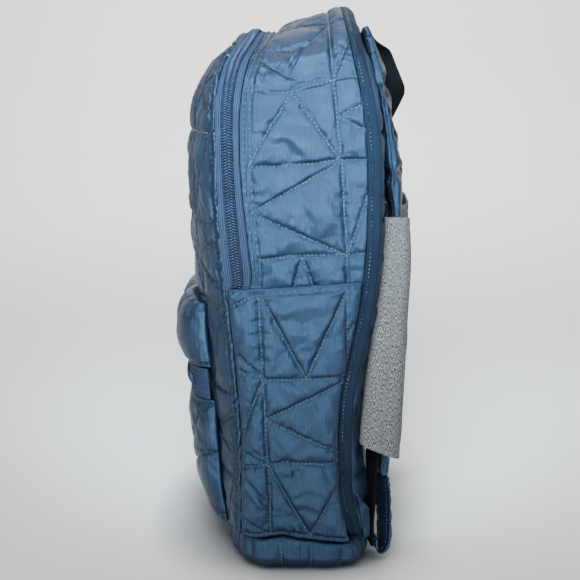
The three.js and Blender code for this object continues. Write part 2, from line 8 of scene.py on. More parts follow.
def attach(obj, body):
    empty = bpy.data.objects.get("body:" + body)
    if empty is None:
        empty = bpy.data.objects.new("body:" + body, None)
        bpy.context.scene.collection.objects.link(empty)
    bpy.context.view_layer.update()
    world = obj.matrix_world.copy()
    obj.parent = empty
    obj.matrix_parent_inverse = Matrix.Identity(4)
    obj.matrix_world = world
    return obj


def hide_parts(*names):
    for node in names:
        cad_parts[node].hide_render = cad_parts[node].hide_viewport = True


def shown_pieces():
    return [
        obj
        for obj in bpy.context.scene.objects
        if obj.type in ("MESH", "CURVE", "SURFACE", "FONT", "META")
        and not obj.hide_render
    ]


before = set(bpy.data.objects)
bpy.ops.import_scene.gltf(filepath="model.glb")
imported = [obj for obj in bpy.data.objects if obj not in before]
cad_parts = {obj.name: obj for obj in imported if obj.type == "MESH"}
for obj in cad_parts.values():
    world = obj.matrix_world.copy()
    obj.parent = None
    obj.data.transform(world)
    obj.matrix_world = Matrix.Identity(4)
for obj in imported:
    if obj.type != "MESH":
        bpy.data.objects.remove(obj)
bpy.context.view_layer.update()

MM = 0.001
RNG = np.random.default_rng(7)
SCENE = bpy.context.scene

# ------------------------------------------------------------------ camera
# The photo looks at the +X side, 9.7 degrees down, from 1.1 m.
CAM_AT = Vector((1.100, -0.0072, 0.379))
cam_data = bpy.data.cameras.new("cam")
cam = bpy.data.objects.new("cam", cam_data)
bpy.context.collection.objects.link(cam)
cam_data.sensor_width = 36.0
cam_data.lens = 1345.0 * 36.0 / 580.0
cam_data.clip_start, cam_data.clip_end = 0.05, 20.0
pitch = math.radians(9.7)
cam.location = CAM_AT
cam.rotation_euler = Vector((-math.cos(pitch), 0.0, -math.sin(pitch))).to_track_quat("-Z", "Y").to_euler()
SCENE.camera = cam

# ------------------------------------------------------------------ body shape, as in the CAD model

DY = -7.22
Z_BASE, Z_SPRING, ARCH_N = 27.5, 330.0, 2.5
HALF_W, HALF_W_LOW, CROWN, RUN = 135.0, 133.5, 404.0, 0.32
BODY_COLS = ("z", "panelEdge", "bandFront", "back", "panelMid", "backBulge")
BODY = np.array([
    (25, -37, -36.6, 55.0, -52.0, 6), (56, -37, -36.6, 47.5, -57.0, 11), (84, -37, -36.6, 46.0, -60.3, 8),
    (110, -37, -36.6, 46.0, -63.0, 4), (138, -39, -38.6, 48.0, -66.0, 2), (160, -41, -40.6, 53.0, -68.2, 1.5),
    (195, -45, -44.6, 60.0, -70.8, 1.5), (215, -47, -30.0, 63.0, -73.2, 1.5), (244, -50, -31.0, 65.3, -76.5, 1.5),
    (280, -52, -35.0, 66.0, -78.8, 1.5), (316, -53, -37.0, 65.3, -78.3, 1.5), (351, -53, -36.0, 61.0, -74.0, 1.5),
    (379, -49, -31.0, 54.0, -63.0, 1.5), (396, -40, -22.0, 50.0, -46.0, 1.2), (404, -36, -18.0, 49.0, -37.0, 1.0)], float)
CROWN_LINE = np.array([(-60, 396), (-36, 401), (-27, 402.5), (-10, 402), (12, 410), (36, 419.5), (43, 420),
                       (52, 414), (60, 405)], float)


def hermite(xs, ys, at):
    at = np.clip(np.asarray(at, float), xs[0], xs[-1])
    i = np.clip(np.searchsorted(xs, at, side="left") - 1, 0, len(xs) - 2)
    m = np.empty(len(xs))
    m[1:-1] = (ys[2:] - ys[:-2]) / (xs[2:] - xs[:-2])
    m[0] = (ys[1] - ys[0]) / (xs[1] - xs[0])
    m[-1] = (ys[-1] - ys[-2]) / (xs[-1] - xs[-2])
    h = xs[i + 1] - xs[i]
    t = (at - xs[i]) / h
    t2, t3 = t * t, t * t * t
    return ((2 * t3 - 3 * t2 + 1) * ys[i] + (t3 - 2 * t2 + t) * h * m[i]
            + (-2 * t3 + 3 * t2) * ys[i + 1] + (t3 - t2) * h * m[i + 1])


def body(col, q):
    return hermite(BODY[:, 0], BODY[:, BODY_COLS.index(col)], q)


def crown_at(y):
    return hermite(CROWN_LINE[:, 0], CROWN_LINE[:, 1], y)


def smooth(a, b, v):
    t = np.clip((np.asarray(v, float) - a) / (b - a), 0, 1)
    return t * t * (3 - 2 * t)


def half_at(z):
    return HALF_W_LOW + (HALF_W - HALF_W_LOW) * smooth(214, 236, z)


# arc length along the outline of the nominal arch
_PHI = np.linspace(0, math.pi / 2, 400)
_K = 1 / (np.cos(_PHI) ** ARCH_N + np.sin(_PHI) ** ARCH_N) ** (1 / ARCH_N)
_AX, _AZ = HALF_W * np.cos(_PHI) * _K, (410 - Z_SPRING) * np.sin(_PHI) * _K
_ARC = np.concatenate([[0], np.cumsum(np.hypot(np.diff(_AX), np.diff(_AZ)))])
QUARTER = _ARC[-1]
TOTAL = 2 * (Z_SPRING - Z_BASE + QUARTER)     # whole run, foot to foot


def outline(L, inset, crown):
    """L mm along the outline from the +X foot; returns x, z, q."""
    L = np.asarray(L, float)
    half = TOTAL / 2
    side = np.where(L > half, -1.0, 1.0)
    h = np.where(L > half, TOTAL - L, L)
    zs = Z_BASE + np.minimum(h, Z_SPRING - Z_BASE)
    phi = np.interp(h - (Z_SPRING - Z_BASE), _ARC, _PHI)
    k = 1 / (np.abs(np.cos(phi)) ** ARCH_N + np.sin(phi) ** ARCH_N) ** (1 / ARCH_N)
    arch = h > (Z_SPRING - Z_BASE)
    x = np.where(arch, (HALF_W - inset) * np.maximum(0, np.cos(phi)) * k, half_at(zs) - inset)
    z = np.where(arch, Z_SPRING + (crown - inset - Z_SPRING) * np.sin(phi) * k, zs)
    q = np.where(arch, Z_SPRING + (CROWN - Z_SPRING) * np.sin(phi) * k, zs)
    return side * x, z, q


def body_point(T, L, out=0.0):
    """Point of the band's outer face, in mm: T is the depth, L runs along the outline."""
    T, L = np.broadcast_arrays(np.asarray(T, float), np.asarray(L, float))
    x, z, q = outline(L, -out, crown_at(T))
    return np.stack([x, T + DY, z], -1)


def front_point(u, v, inset=0.0, out=0.0):
    """Point of the front panel: u across -1..1, v -1 at the base, 0 at the spring line, 1 at the crown."""
    u, v = np.broadcast_arrays(np.asarray(u, float), np.asarray(v, float))
    zlow = Z_SPRING + v * (Z_SPRING - Z_BASE)
    m = np.maximum(np.abs(u), np.maximum(v, 0))
    vv = np.maximum(v, 1e-6)
    k = m / (np.abs(u) ** ARCH_N + vv ** ARCH_N) ** (1 / ARCH_N)
    low = v <= 0
    x = np.where(low, (half_at(zlow) - inset) * u, (HALF_W - inset) * u * k)
    z = np.where(low, zlow, Z_SPRING + (401.0 - inset - Z_SPRING) * vv * k)
    q = np.where(low, zlow, Z_SPRING + (CROWN - Z_SPRING) * vv * k)
    r = np.where(low, np.abs(u), m)
    e, mid = body("panelEdge", q), body("panelMid", q)
    b = (1 - np.minimum(1, r) ** 3.0) ** 0.8
    y = e - 0.4 + (mid - e - out) * b
    return np.stack([x, y + DY, z], -1)


def front_face(z, x):
    """Depth of the front panel's face at a height and a distance from the middle."""
    e, mid = body("panelEdge", z), body("panelMid", z)
    r = np.minimum(1, np.abs(x) / half_at(z))
    return e + (mid - e) * (1 - r ** 3.0) ** 0.8


# ------------------------------------------------------------------ mesh helpers
def link(name, verts, faces, smooth_shade=True):
    me = bpy.data.meshes.new(name)
    me.from_pydata([tuple(v) for v in verts], [], faces)
    me.validate()
    me.update()
    ob = bpy.data.objects.new(name, me)
    bpy.context.collection.objects.link(ob)
    if smooth_shade:
        me.polygons.foreach_set("use_smooth", np.ones(len(me.polygons), bool))
    return ob


def coords(ob):
    a = np.empty(len(ob.data.vertices) * 3)
    ob.data.vertices.foreach_get("co", a)
    return a.reshape(-1, 3)


def set_coords(ob, a):
    ob.data.vertices.foreach_set("co", np.asarray(a, float).ravel())
    ob.data.update()


def put_attr(ob, name, values):
    at = ob.data.attributes.get(name) or ob.data.attributes.new(name, "FLOAT", "POINT")
    at.data.foreach_set("value", np.asarray(values, np.float32))


def get_attr(ob, name):
    a = np.empty(len(ob.data.vertices), np.float32)
    ob.data.attributes[name].data.foreach_get("value", a)
    return a.astype(float)


def freeze(ob):
    """Swap the mesh for its evaluated copy, so that no modifier is left."""
    dg = bpy.context.evaluated_depsgraph_get()
    dg.update()
    me = bpy.data.meshes.new_from_object(ob.evaluated_get(dg), preserve_all_data_layers=True, depsgraph=dg)
    old = ob.data
    ob.modifiers.clear()
    ob.data = me
    bpy.data.meshes.remove(old)
    ob.data.polygons.foreach_set("use_smooth", np.ones(len(me.polygons), bool))


def subdivide(ob, levels=1):
    m = ob.modifiers.new("sub", "SUBSURF")
    m.levels = m.render_levels = levels
    m.boundary_smooth = "PRESERVE_CORNERS"
    freeze(ob)


def grid_normals(P):
    du = np.gradient(P, axis=1)
    dv = np.gradient(P, axis=0)
    n = np.cross(du, dv)
    return n / np.maximum(1e-12, np.linalg.norm(n, axis=-1, keepdims=True))


def noise1(seed, x, step):
    """Smooth value noise along a line."""
    r = np.random.default_rng(seed).uniform(-1, 1, 4096)
    f = np.asarray(x, float) / step
    i = np.floor(f).astype(int)
    t = f - i
    t = t * t * (3 - 2 * t)
    return r[i % 4096] * (1 - t) + r[(i + 1) % 4096] * t


def noise2(seed, x, y, step):
    r = np.random.default_rng(seed).uniform(-1, 1, (256, 256))
    fx, fy = np.asarray(x, float) / step, np.asarray(y, float) / step
    ix, iy = np.floor(fx).astype(int), np.floor(fy).astype(int)
    tx, ty = fx - ix, fy - iy
    tx, ty = tx * tx * (3 - 2 * tx), ty * ty * (3 - 2 * ty)
    g = lambda a, b: r[a % 256, b % 256]
    return ((g(ix, iy) * (1 - tx) + g(ix + 1, iy) * tx) * (1 - ty)
            + (g(ix, iy + 1) * (1 - tx) + g(ix + 1, iy + 1) * tx) * ty)


# ------------------------------------------------------------------ seams
def polyline(*pts):
    return [(pts[i], pts[i + 1]) for i in range(len(pts) - 1)]


def nearest(segs, X, Y):
    """Nearest seam of each point: distance, foot of the perpendicular, position along, seam number."""
    best = np.full(X.shape, 1e9)
    fx, fy, al, no = X.copy(), Y.copy(), np.zeros(X.shape), np.zeros(X.shape, int)
    run = 0.0
    for k, ((ax, ay), (bx, by)) in enumerate(segs):
        dx, dy = bx - ax, by - ay
        ll = dx * dx + dy * dy
        if ll < 1e-9:
            continue
        t = np.clip(((X - ax) * dx + (Y - ay) * dy) / ll, 0, 1)
        px, py = ax + t * dx, ay + t * dy
        d = np.hypot(X - px, Y - py)
        m = d < best
        best[m], fx[m], fy[m] = d[m], px[m], py[m]
        al[m], no[m] = run + t[m] * math.sqrt(ll), k
        run += math.sqrt(ll)
    return best, fx, fy, al, no


HOLES = []


def puff_height(free, du, dv, rounds=260):
    """Membrane under pressure, held where free is 0, by relaxation on the grid."""
    h = np.zeros(free.shape)
    wu, wv = 1 / du ** 2, 1 / dv ** 2
    for _ in range(rounds):
        p = np.pad(h, 1, mode="edge")
        h = free * ((p[1:-1, :-2] + p[1:-1, 2:]) * wu + (p[:-2, 1:-1] + p[2:, 1:-1]) * wv + 1.0) / (2 * wu + 2 * wv)
    return h


def quilted(name, U, V, point, segs, height, thick, cloth=True, step=2.6, swell=0.03, pressure=19.0,
            hold_edges=(1, 1, 1, 1), steps=16, groove=0.9, k=6, seed=1, pucker=0.33, folds=(), edge_ruche=None,
            inner_move=0.0):
    """Padded quilted wall. U, V are 2-D arrays of cloth coordinates (mm) on a grid; point maps them to space.
    The seams are pinned, the cells between them swell."""
    nv, nu = U.shape
    height = np.broadcast_to(np.asarray(height, float), U.shape)
    d, fx, fy, al, no = nearest(segs, U, V)
    snap = d < step * 0.5
    edge = np.zeros(U.shape, bool)
    if hold_edges[0]: edge[0, :] = True
    if hold_edges[1]: edge[-1, :] = True
    if hold_edges[2]: edge[:, 0] = True
    if hold_edges[3]: edge[:, -1] = True
    border = np.zeros(U.shape, bool)
    border[0, :] = border[-1, :] = border[:, 0] = border[:, -1] = True
    move = snap & ~border
    U2, V2 = np.where(move, fx, U), np.where(move, fy, V)
    P = point(U2, V2)
    N = grid_normals(P)
    base_mid = P.reshape(-1, 3).mean(0)
    if np.mean(np.sum(N * OUTWARD(P), -1)) < 0:
        N = -N
    du = np.median(np.linalg.norm(np.diff(P, axis=1), axis=-1))
    dv = np.median(np.linalg.norm(np.diff(P, axis=0), axis=-1))
    free = (~(snap | edge)).astype(float)
    h = puff_height(free, du, dv)
    ref = np.percentile(h[free > 0], 90) if (free > 0).any() else 1.0
    prof = 1 - np.exp(-2.6 * h / max(ref, 1e-9))
    prof /= prof.max() if prof.max() > 0 else 1
    wr = pucker * noise1(seed * 31 + 5, al + no * 57.0, 2.9) * np.exp(-d / 7.0) * (1 - np.exp(-d / 1.6))
    wr += 0.15 * noise2(seed * 17 + 3, U2, V2, 9.0) * prof + 0.4 * noise2(seed * 13 + 1, U2, V2, 26.0) * prof
    start = 0.45 if cloth else 1.0
    Q = P + N * ((height * start * prof + wr) * free)[..., None] - N * (groove * snap * ~edge)[..., None]
    verts = (Q * MM).reshape(-1, 3)
    idx = np.arange(nu * nv).reshape(nv, nu)
    quads = np.stack([idx[:-1, :-1], idx[:-1, 1:], idx[1:, 1:], idx[1:, :-1]], -1).reshape(-1, 4)
    a, b, c = verts[quads[0][0]], verts[quads[0][1]], verts[quads[0][3]]
    mid = quads[len(quads) // 2]
    fn = np.cross(verts[mid[1]] - verts[mid[0]], verts[mid[3]] - verts[mid[0]])
    if np.dot(fn, N.reshape(-1, 3)[mid[0]]) < 0:
        quads = quads[:, ::-1]
    flip = np.dot(fn, N.reshape(-1, 3)[mid[0]]) < 0
    ob = link(name, verts, [tuple(q) for q in quads])
    if cloth:
        vg = ob.vertex_groups.new(name="pin")
        pins = np.nonzero((snap | edge).ravel())[0]
        vg.add([int(i) for i in pins], 1.0, "REPLACE")
        m = ob.modifiers.new("cloth", "CLOTH")
        s = m.settings
        s.quality = 4
        s.mass = 0.0012
        s.air_damping = 2.0
        s.tension_stiffness = s.compression_stiffness = 30.0
        s.shear_stiffness = 12.0
        s.bending_stiffness = 0.02
        s.tension_damping = s.compression_damping = s.shear_damping = 8.0
        s.use_pressure = True
        s.uniform_pressure_force = pressure
        s.use_pressure_volume = True
        s.target_volume = 0.0
        s.vertex_group_mass = "pin"
        s.shrink_min = s.shrink_max = -swell
        s.effector_weights.gravity = 0.0
        m.collision_settings.use_collision = False
        m.collision_settings.use_self_collision = False
        m.point_cache.frame_start, m.point_cache.frame_end = 1, steps + 1
        for f in range(1, steps + 1):
            SCENE.frame_set(f)
        freeze(ob)
        SCENE.frame_set(1)
        S = coords(ob).reshape(nv, nu, 3) / MM
        off = np.sum((S - P) * N, -1)
        side = S - P - off[..., None] * N
        ln = np.linalg.norm(side, axis=-1, keepdims=True)
        side *= np.minimum(1, 2.2 / np.maximum(ln, 1e-9))
        lim = np.maximum(height * 1.15, 0.05)
        off = np.where(off > 0.6 * lim, 0.6 * lim + 0.4 * lim * np.tanh((off - 0.6 * lim) / (0.4 * lim)), off)
        off = np.maximum(off, -1.0)
        S = P + side + off[..., None] * N
        print(name, "sim height mm:", round(float(np.percentile(off, 50)), 2), round(float(np.percentile(off, 95)), 2),
              round(float(off.max()), 2))
        set_coords(ob, (S * MM).reshape(-1, 3))
    # inner face on a coarse grid, joined to the fine edge all round
    me = ob.data
    fine = coords(ob)
    inner_pts = ((P - N * thick) * MM)
    ring = np.full((nv, nu), -1)
    new = list(fine)
    for j in range(nv):
        for i in range(nu):
            if border[j, i] or (i % k == 0 and j % k == 0):
                ring[j, i] = len(new)
                new.append(inner_pts[j, i])
    faces = [tuple(int(v) for v in p.vertices) for p in me.polygons]
    back = []
    for j in range(0, nv - 1, k):
        for i in range(0, nu - 1, k):
            j2, i2 = min(j + k, nv - 1), min(i + k, nu - 1)
            loop = []
            loop += [(j, x) for x in (range(i, i2) if j == 0 else (i,))]
            loop += [(y, i2) for y in (range(j, j2) if i2 == nu - 1 else (j,))]
            loop += [(j2, x) for x in (range(i2, i, -1) if j2 == nv - 1 else (i2,))]
            loop += [(y, i) for y in (range(j2, j, -1) if i == 0 else (j2,))]
            back.append([int(ring[a]) for a in loop])
    rim = []
    bl = [(0, i) for i in range(nu - 1)] + [(j, nu - 1) for j in range(nv - 1)] \
        + [(nv - 1, i) for i in range(nu - 1, 0, -1)] + [(j, 0) for j in range(nv - 1, 0, -1)]
    for n, a in enumerate(bl):
        b = bl[(n + 1) % len(bl)]
        rim.append([int(idx[a]), int(ring[a]), int(ring[b]), int(idx[b])])
    # the outer quads run i then j unless flipped
    if flip:
        back = [f for f in back]
        rim = [f[::-1] for f in rim]
    else:
        back = [f[::-1] for f in back]
    me2 = bpy.data.meshes.new(name)
    me2.from_pydata([tuple(v) for v in new], [], faces + [tuple(f) for f in back] + [tuple(f) for f in rim])
    ob.data = me2
    bpy.data.meshes.remove(me)
    n_in = len(new) - nu * nv
    cu = np.concatenate([U2.ravel(), np.zeros(n_in)])
    cv = np.concatenate([V2.ravel(), np.zeros(n_in)])
    inn = np.concatenate([np.zeros(nu * nv), np.ones(n_in)])
    ij = np.argwhere(ring >= 0)
    for (j, i) in ij:
        cu[ring[j, i]], cv[ring[j, i]] = U2[j, i], V2[j, i]
    put_attr(ob, "cu", cu)
    put_attr(ob, "cv", cv)
    put_attr(ob, "inside", inn)
    ob.data.validate()
    subdivide(ob, 1)
    cu, cv, inn = get_attr(ob, "cu"), get_attr(ob, "cv"), get_attr(ob, "inside")
    dd, _, _, al2, no2 = nearest(segs, cu, cv)
    # masks for painted shade: seam in each seam, near falling off over 7 mm towards it
    put_attr(ob, "seam", np.exp(-(dd / 1.4) ** 2) * (inn < 0.5))
    put_attr(ob, "near", np.exp(-dd / 7.0) * (inn < 0.5))
    # a crisp groove at each seam, then the folds and the gathered edge
    X = coords(ob)
    nrm = np.empty(len(ob.data.vertices) * 3)
    ob.data.vertices.foreach_get("normal", nrm)
    nrm = nrm.reshape(-1, 3)
    X -= nrm * (0.85 * np.exp(-(dd / 1.2) ** 2) * (inn < 0.5))[:, None] * MM
    fine_w = pucker * 2.2 * noise1(seed * 7 + 2, al2 + no2 * 31.0, 1.9) * np.exp(-dd / 5.5) * (1 - np.exp(-dd / 1.1))
    fine_w += 0.18 * noise1(seed * 9 + 4, al2 + no2 * 17.0, 3.3) * np.exp(-dd / 11.0) * (1 - np.exp(-dd / 3.0))
    X += nrm * (fine_w * (inn < 0.5))[:, None] * MM
    fold_shade = np.zeros(len(X))
    for pts, depth, width in folds:
        fd, _, _, fa, _ = nearest(polyline(*pts), cu, cv)
        total = sum(math.hypot(b[0] - a[0], b[1] - a[1]) for a, b in polyline(*pts))
        ends = np.clip(np.minimum(fa, total - fa) / (0.22 * total), 0.25, 1)
        prof = -depth * np.exp(-(fd / width) ** 2) + 0.55 * depth * np.exp(-((fd - 2.0 * width) / (1.1 * width)) ** 2)
        X += nrm * (prof * ends * (inn < 0.5))[:, None] * MM
        # painted shade along the fold's crease
        fold_shade = np.maximum(fold_shade, np.exp(-(fd / (0.6 * width)) ** 2) * 0.6 * ends)
    if edge_ruche is not None:
        fn, r0 = edge_ruche
        rr = fn(cu, cv)
        along = np.where(cv < Z_SPRING, cv, Z_SPRING + np.abs(cu)) + 400 * (cu < 0)
        w = np.clip((rr - r0) / 0.008, 0, 1) * (0.9 * noise1(seed + 40, along, 2.1) + 0.6 * noise1(seed + 41, along, 4.7))
        w += np.clip(1 - np.abs(rr - r0 + 0.02) / 0.03, 0, 1) * 0.55 * noise1(seed + 42, along, 2.6) * (rr < r0)
        X += nrm * (w * (inn < 0.5) * (rr < 0.998))[:, None] * MM
        # painted shade over the gathered edge strip, joined to the seam mask below
        fold_shade = np.maximum(fold_shade, np.clip((rr - 0.935) / 0.02, 0, 1) * 0.8)
    put_attr(ob, "seam", np.maximum(get_attr(ob, "seam"), fold_shade * (inn < 0.5)))
    set_coords(ob, X)
    return ob


def OUTWARD(P):
    """Rough outward direction of body points, to sort normals."""
    c = np.array([0.0, 0.0, 200.0])
    o = P - c
    o[..., 2] *= 0.5
    return o


class Surface:
    """Finds the final puffed surface under a cloth coordinate, for stitches."""

    def __init__(self, ob):
        self.cu, self.cv = get_attr(ob, "cu"), get_attr(ob, "cv")
        self.inn = get_attr(ob, "inside") > 0.02
        self.X = coords(ob)
        n = np.empty(len(ob.data.vertices) * 3)
        ob.data.vertices.foreach_get("normal", n)
        self.N = n.reshape(-1, 3)
        self.cell = 4.0
        self.bins = {}
        ii = np.nonzero(~self.inn)[0]
        for i in ii:
            self.bins.setdefault((int(self.cu[i] // self.cell), int(self.cv[i] // self.cell)), []).append(i)

    def at(self, u, v):
        a, b = int(u // self.cell), int(v // self.cell)
        cand = [i for da in (-1, 0, 1) for db in (-1, 0, 1) for i in self.bins.get((a + da, b + db), ())]
        if not cand:
            return None
        cand = np.array(cand)
        d = (self.cu[cand] - u) ** 2 + (self.cv[cand] - v) ** 2
        o = np.argsort(d)[:6]
        w = 1 / (d[o] + 0.05)
        w /= w.sum()
        p = (self.X[cand[o]] * w[:, None]).sum(0)
        n = (self.N[cand[o]] * w[:, None]).sum(0)
        n /= max(1e-9, np.linalg.norm(n))
        return p, n


def hole_mesh(rows):
    """Small dimples where the needle went through, near-black with painted shade."""
    V, F = [], []
    for c, t, n, ln, r in rows:
        b = np.cross(t, n)
        o = len(V)
        for a in range(5):
            ca, sa = math.cos(a * math.pi / 2.5), math.sin(a * math.pi / 2.5)
            V.append(c + t * ca * ln * 0.5 + b * sa * r - n * r)
        V.append(c + n * r * 0.55)
        V.append(c - n * r * 2.0)
        for a in range(5):
            F.append((o + a, o + (a + 1) % 5, o + 5))
            F.append((o + (a + 1) % 5, o + a, o + 6))
    return V, F


def stitch_mesh(rows):
    """rows: (centre, along, normal, length, radius) in metres; one small thread loop for each."""
    verts, faces = [], []
    ring = [(math.cos(a), math.sin(a)) for a in np.linspace(0, 2 * math.pi, 4, endpoint=False)]
    for c, t, n, ln, r in rows:
        b = np.cross(t, n)
        s0 = len(verts)
        prof = [(-0.5, -1.2, 0.75), (-0.22, 0.35, 1.04), (0.22, 0.35, 1.04), (0.5, -1.2, 0.75)]
        for f, lift, sc in prof:
            q = c + t * (f * ln) + n * (lift * r)
            for (x, y) in ring:
                verts.append(q + (b * x + n * y * 0.8) * r * sc)
        for k in range(3):
            for i in range(4):
                j = (i + 1) % 4
                faces.append((s0 + k * 4 + i, s0 + k * 4 + j, s0 + k * 4 + 4 + j, s0 + k * 4 + 4 + i))
        faces.append(tuple(s0 + i for i in range(3, -1, -1)))
        faces.append(tuple(s0 + 12 + i for i in range(4)))
    return verts, faces


def sew(rows, surf, segs, pitch=2.9, length=1.75, radius=0.27, lift=0.02, skip=None):
    """Adds stitches along seams, lying on the surface."""
    rng = np.random.default_rng(11)
    for (ax, ay), (bx, by) in segs:
        ll = math.hypot(bx - ax, by - ay)
        n = int(ll / pitch)
        for i in range(n):
            f = (i + 0.5) / max(1, n)
            u, v = ax + (bx - ax) * f, ay + (by - ay) * f
            if skip is not None and skip(u, v):
                continue
            p = surf.at(u, v)
            e = 0.5 * pitch / max(ll, 1e-6)
            p0 = surf.at(ax + (bx - ax) * (f - e), ay + (by - ay) * (f - e))
            p1 = surf.at(ax + (bx - ax) * (f + e), ay + (by - ay) * (f + e))
            if p is None or p0 is None or p1 is None:
                continue
            t = p1[0] - p0[0]
            lt = np.linalg.norm(t)
            if lt < 1e-6:
                continue
            t /= lt
            nn = p[1] - t * np.dot(p[1], t)
            nn /= max(1e-9, np.linalg.norm(nn))
            t2 = t + np.cross(nn, t) * rng.uniform(-0.10, 0.10)
            rows.append((p[0] + nn * lift * MM, t2 / np.linalg.norm(t2), nn, length * MM * rng.uniform(0.92, 1.05), radius * MM))
            HOLES.append((p0[0] - nn * 0.05 * MM, t, nn, 1.45 * MM, 0.58 * MM))
    return rows


# ------------------------------------------------------------------ materials
def srgb(r, g, b):
    f = lambda c: (c / 255 / 12.92) if c / 255 <= 0.04045 else ((c / 255 + 0.055) / 1.055) ** 2.4
    return (f(r), f(g), f(b), 1.0)


class Nodes:
    def __init__(self, name):
        self.mat = bpy.data.materials.new(name)
        self.mat.use_nodes = True
        self.t = self.mat.node_tree
        self.b = next(n for n in self.t.nodes if n.type == "BSDF_PRINCIPLED")

    def new(self, kind, **vals):
        n = self.t.nodes.new(kind)
        for k, v in vals.items():
            if k.startswith("in_"):
                n.inputs[int(k[3:]) if k[3:].isdigit() else k[3:].replace("_", " ")].default_value = v
            else:
                setattr(n, k, v)
        return n

    def link(self, a, b):
        self.t.links.new(a, b)
        return a

    def math(self, op, a, b=None, c=None, clamp=False):
        n = self.t.nodes.new("ShaderNodeMath")
        n.operation, n.use_clamp = op, clamp
        for i, v in enumerate((a, b, c)):
            if v is None:
                continue
            if isinstance(v, (int, float)):
                n.inputs[i].default_value = v
            else:
                self.link(v, n.inputs[i])
        return n.outputs[0]

    def noise(self, scale, detail=2.0, rough=0.5, vec=None, dim="3D"):
        n = self.new("ShaderNodeTexNoise")
        n.noise_dimensions = dim
        n.inputs["Scale"].default_value = scale
        n.inputs["Detail"].default_value = detail
        n.inputs["Roughness"].default_value = rough
        if vec is not None:
            self.link(vec, n.inputs["Vector"])
        return n.outputs[0]

    def attr(self, name):
        n = self.new("ShaderNodeAttribute")
        n.attribute_name = name
        return n.outputs["Fac"]

    def mixcol(self, fac, a, b):
        n = self.new("ShaderNodeMix")
        n.data_type = "RGBA"
        for sock, v in ((n.inputs[0], fac), (n.inputs[6], a), (n.inputs[7], b)):
            if isinstance(v, (int, float)) or isinstance(v, tuple):
                sock.default_value = v
            else:
                self.link(v, sock)
        return n.outputs[2]

    def bump(self, height, dist, strength=1.0, normal=None):
        n = self.new("ShaderNodeBump")
        n.inputs["Strength"].default_value = strength
        n.inputs["Distance"].default_value = dist
        self.link(height, n.inputs["Height"])
        if normal is not None:
            self.link(normal, n.inputs["Normal"])
        return n.outputs[0]


def satin(name, light, dark, rough=0.42, sheen=0.25, rib=1.25, rib_axis="cv", weave=1.0, seams=True, spec=0.62):
    """Down-proof nylon: fine ribs and cross threads, a soft satin shine, blotchy tone, painted shade darkening towards
    the seams and in them and in the creases, and rib stripes in the colour that are partly painted shading of the
    puckers.
    """
    m = Nodes(name)
    m.b.inputs["Sheen Weight"].default_value = sheen
    m.b.inputs["Sheen Roughness"].default_value = 0.45
    m.b.inputs["Sheen Tint"].default_value = srgb(150, 195, 240)
    m.b.inputs["Specular IOR Level"].default_value = spec
    m.b.inputs["Specular Tint"].default_value = (0.30, 0.61, 1.0, 1.0)
    m.b.inputs["Anisotropic"].default_value = 0.35
    geo = m.new("ShaderNodeTexCoord")
    obj = geo.outputs["Object"]
    cu, cv = m.attr("cu"), m.attr("cv")
    comb = m.new("ShaderNodeCombineXYZ")
    m.link(cu, comb.inputs[0])
    m.link(cv, comb.inputs[1])
    uv = comb.outputs[0]
    warp = m.noise(0.05, 2.0, 0.5, uv)
    # ribs across the cloth and fine threads, in mm
    a = m.math("ADD", m.math("MULTIPLY", cu if rib_axis == "cu" else cv, 2 * math.pi / rib), m.math("MULTIPLY", warp, 9.0))
    ribs = m.math("SINE", a)
    t1 = m.math("SINE", m.math("MULTIPLY", cu, 2 * math.pi / 0.42))
    t2 = m.math("SINE", m.math("MULTIPLY", cv, 2 * math.pi / 0.36))
    weave_h = m.math("MULTIPLY", m.math("ADD", t1, t2), 0.25 * weave)
    fine = m.noise(2600.0, 2.0, 0.6, obj)
    mid = m.noise(190.0, 4.0, 0.62, obj)
    big = m.noise(34.0, 3.0, 0.55, obj)
    h = m.math("ADD", m.math("MULTIPLY", ribs, 0.42), weave_h)
    h = m.math("ADD", h, m.math("MULTIPLY", fine, 0.5))
    n1 = m.bump(h, 0.00022, 0.6)
    n2 = m.bump(mid, 0.0005, 0.18, n1)
    m.link(n2, m.b.inputs["Normal"])
    seam = m.attr("seam")
    near = m.attr("near")
    f = m.math("ADD", m.math("MULTIPLY", big, 0.9), m.math("MULTIPLY", mid, 0.35))
    f = m.math("SUBTRACT", f, 0.30, clamp=True)
    # rib stripes in the colour: faint weave all over, stronger near the seams as painted shading of the puckers
    f = m.math("ADD", f, m.math("MULTIPLY", ribs, m.math("ADD", m.math("MULTIPLY", near, 0.40), 0.08)), clamp=True)
    col = m.mixcol(f, dark, light)
    # painted shade: darker towards each seam (near), darkest in the seams, folds and creases (seam)
    painted_seam_shade = tuple(c * 0.30 for c in dark[:3]) + (1.0,)
    if seams:
        col = m.mixcol(m.math("MULTIPLY", near, 0.55, clamp=True), col, tuple(c * 0.62 for c in dark[:3]) + (1.0,))
        col = m.mixcol(m.math("MULTIPLY", seam, 0.92, clamp=True), col, painted_seam_shade)
    m.link(col, m.b.inputs["Base Color"])
    r = m.math("ADD", m.math("MULTIPLY", mid, 0.22), rough - 0.11)
    r = m.math("ADD", r, m.math("MULTIPLY", near, 0.06))
    m.link(r, m.b.inputs["Roughness"])
    return m.mat


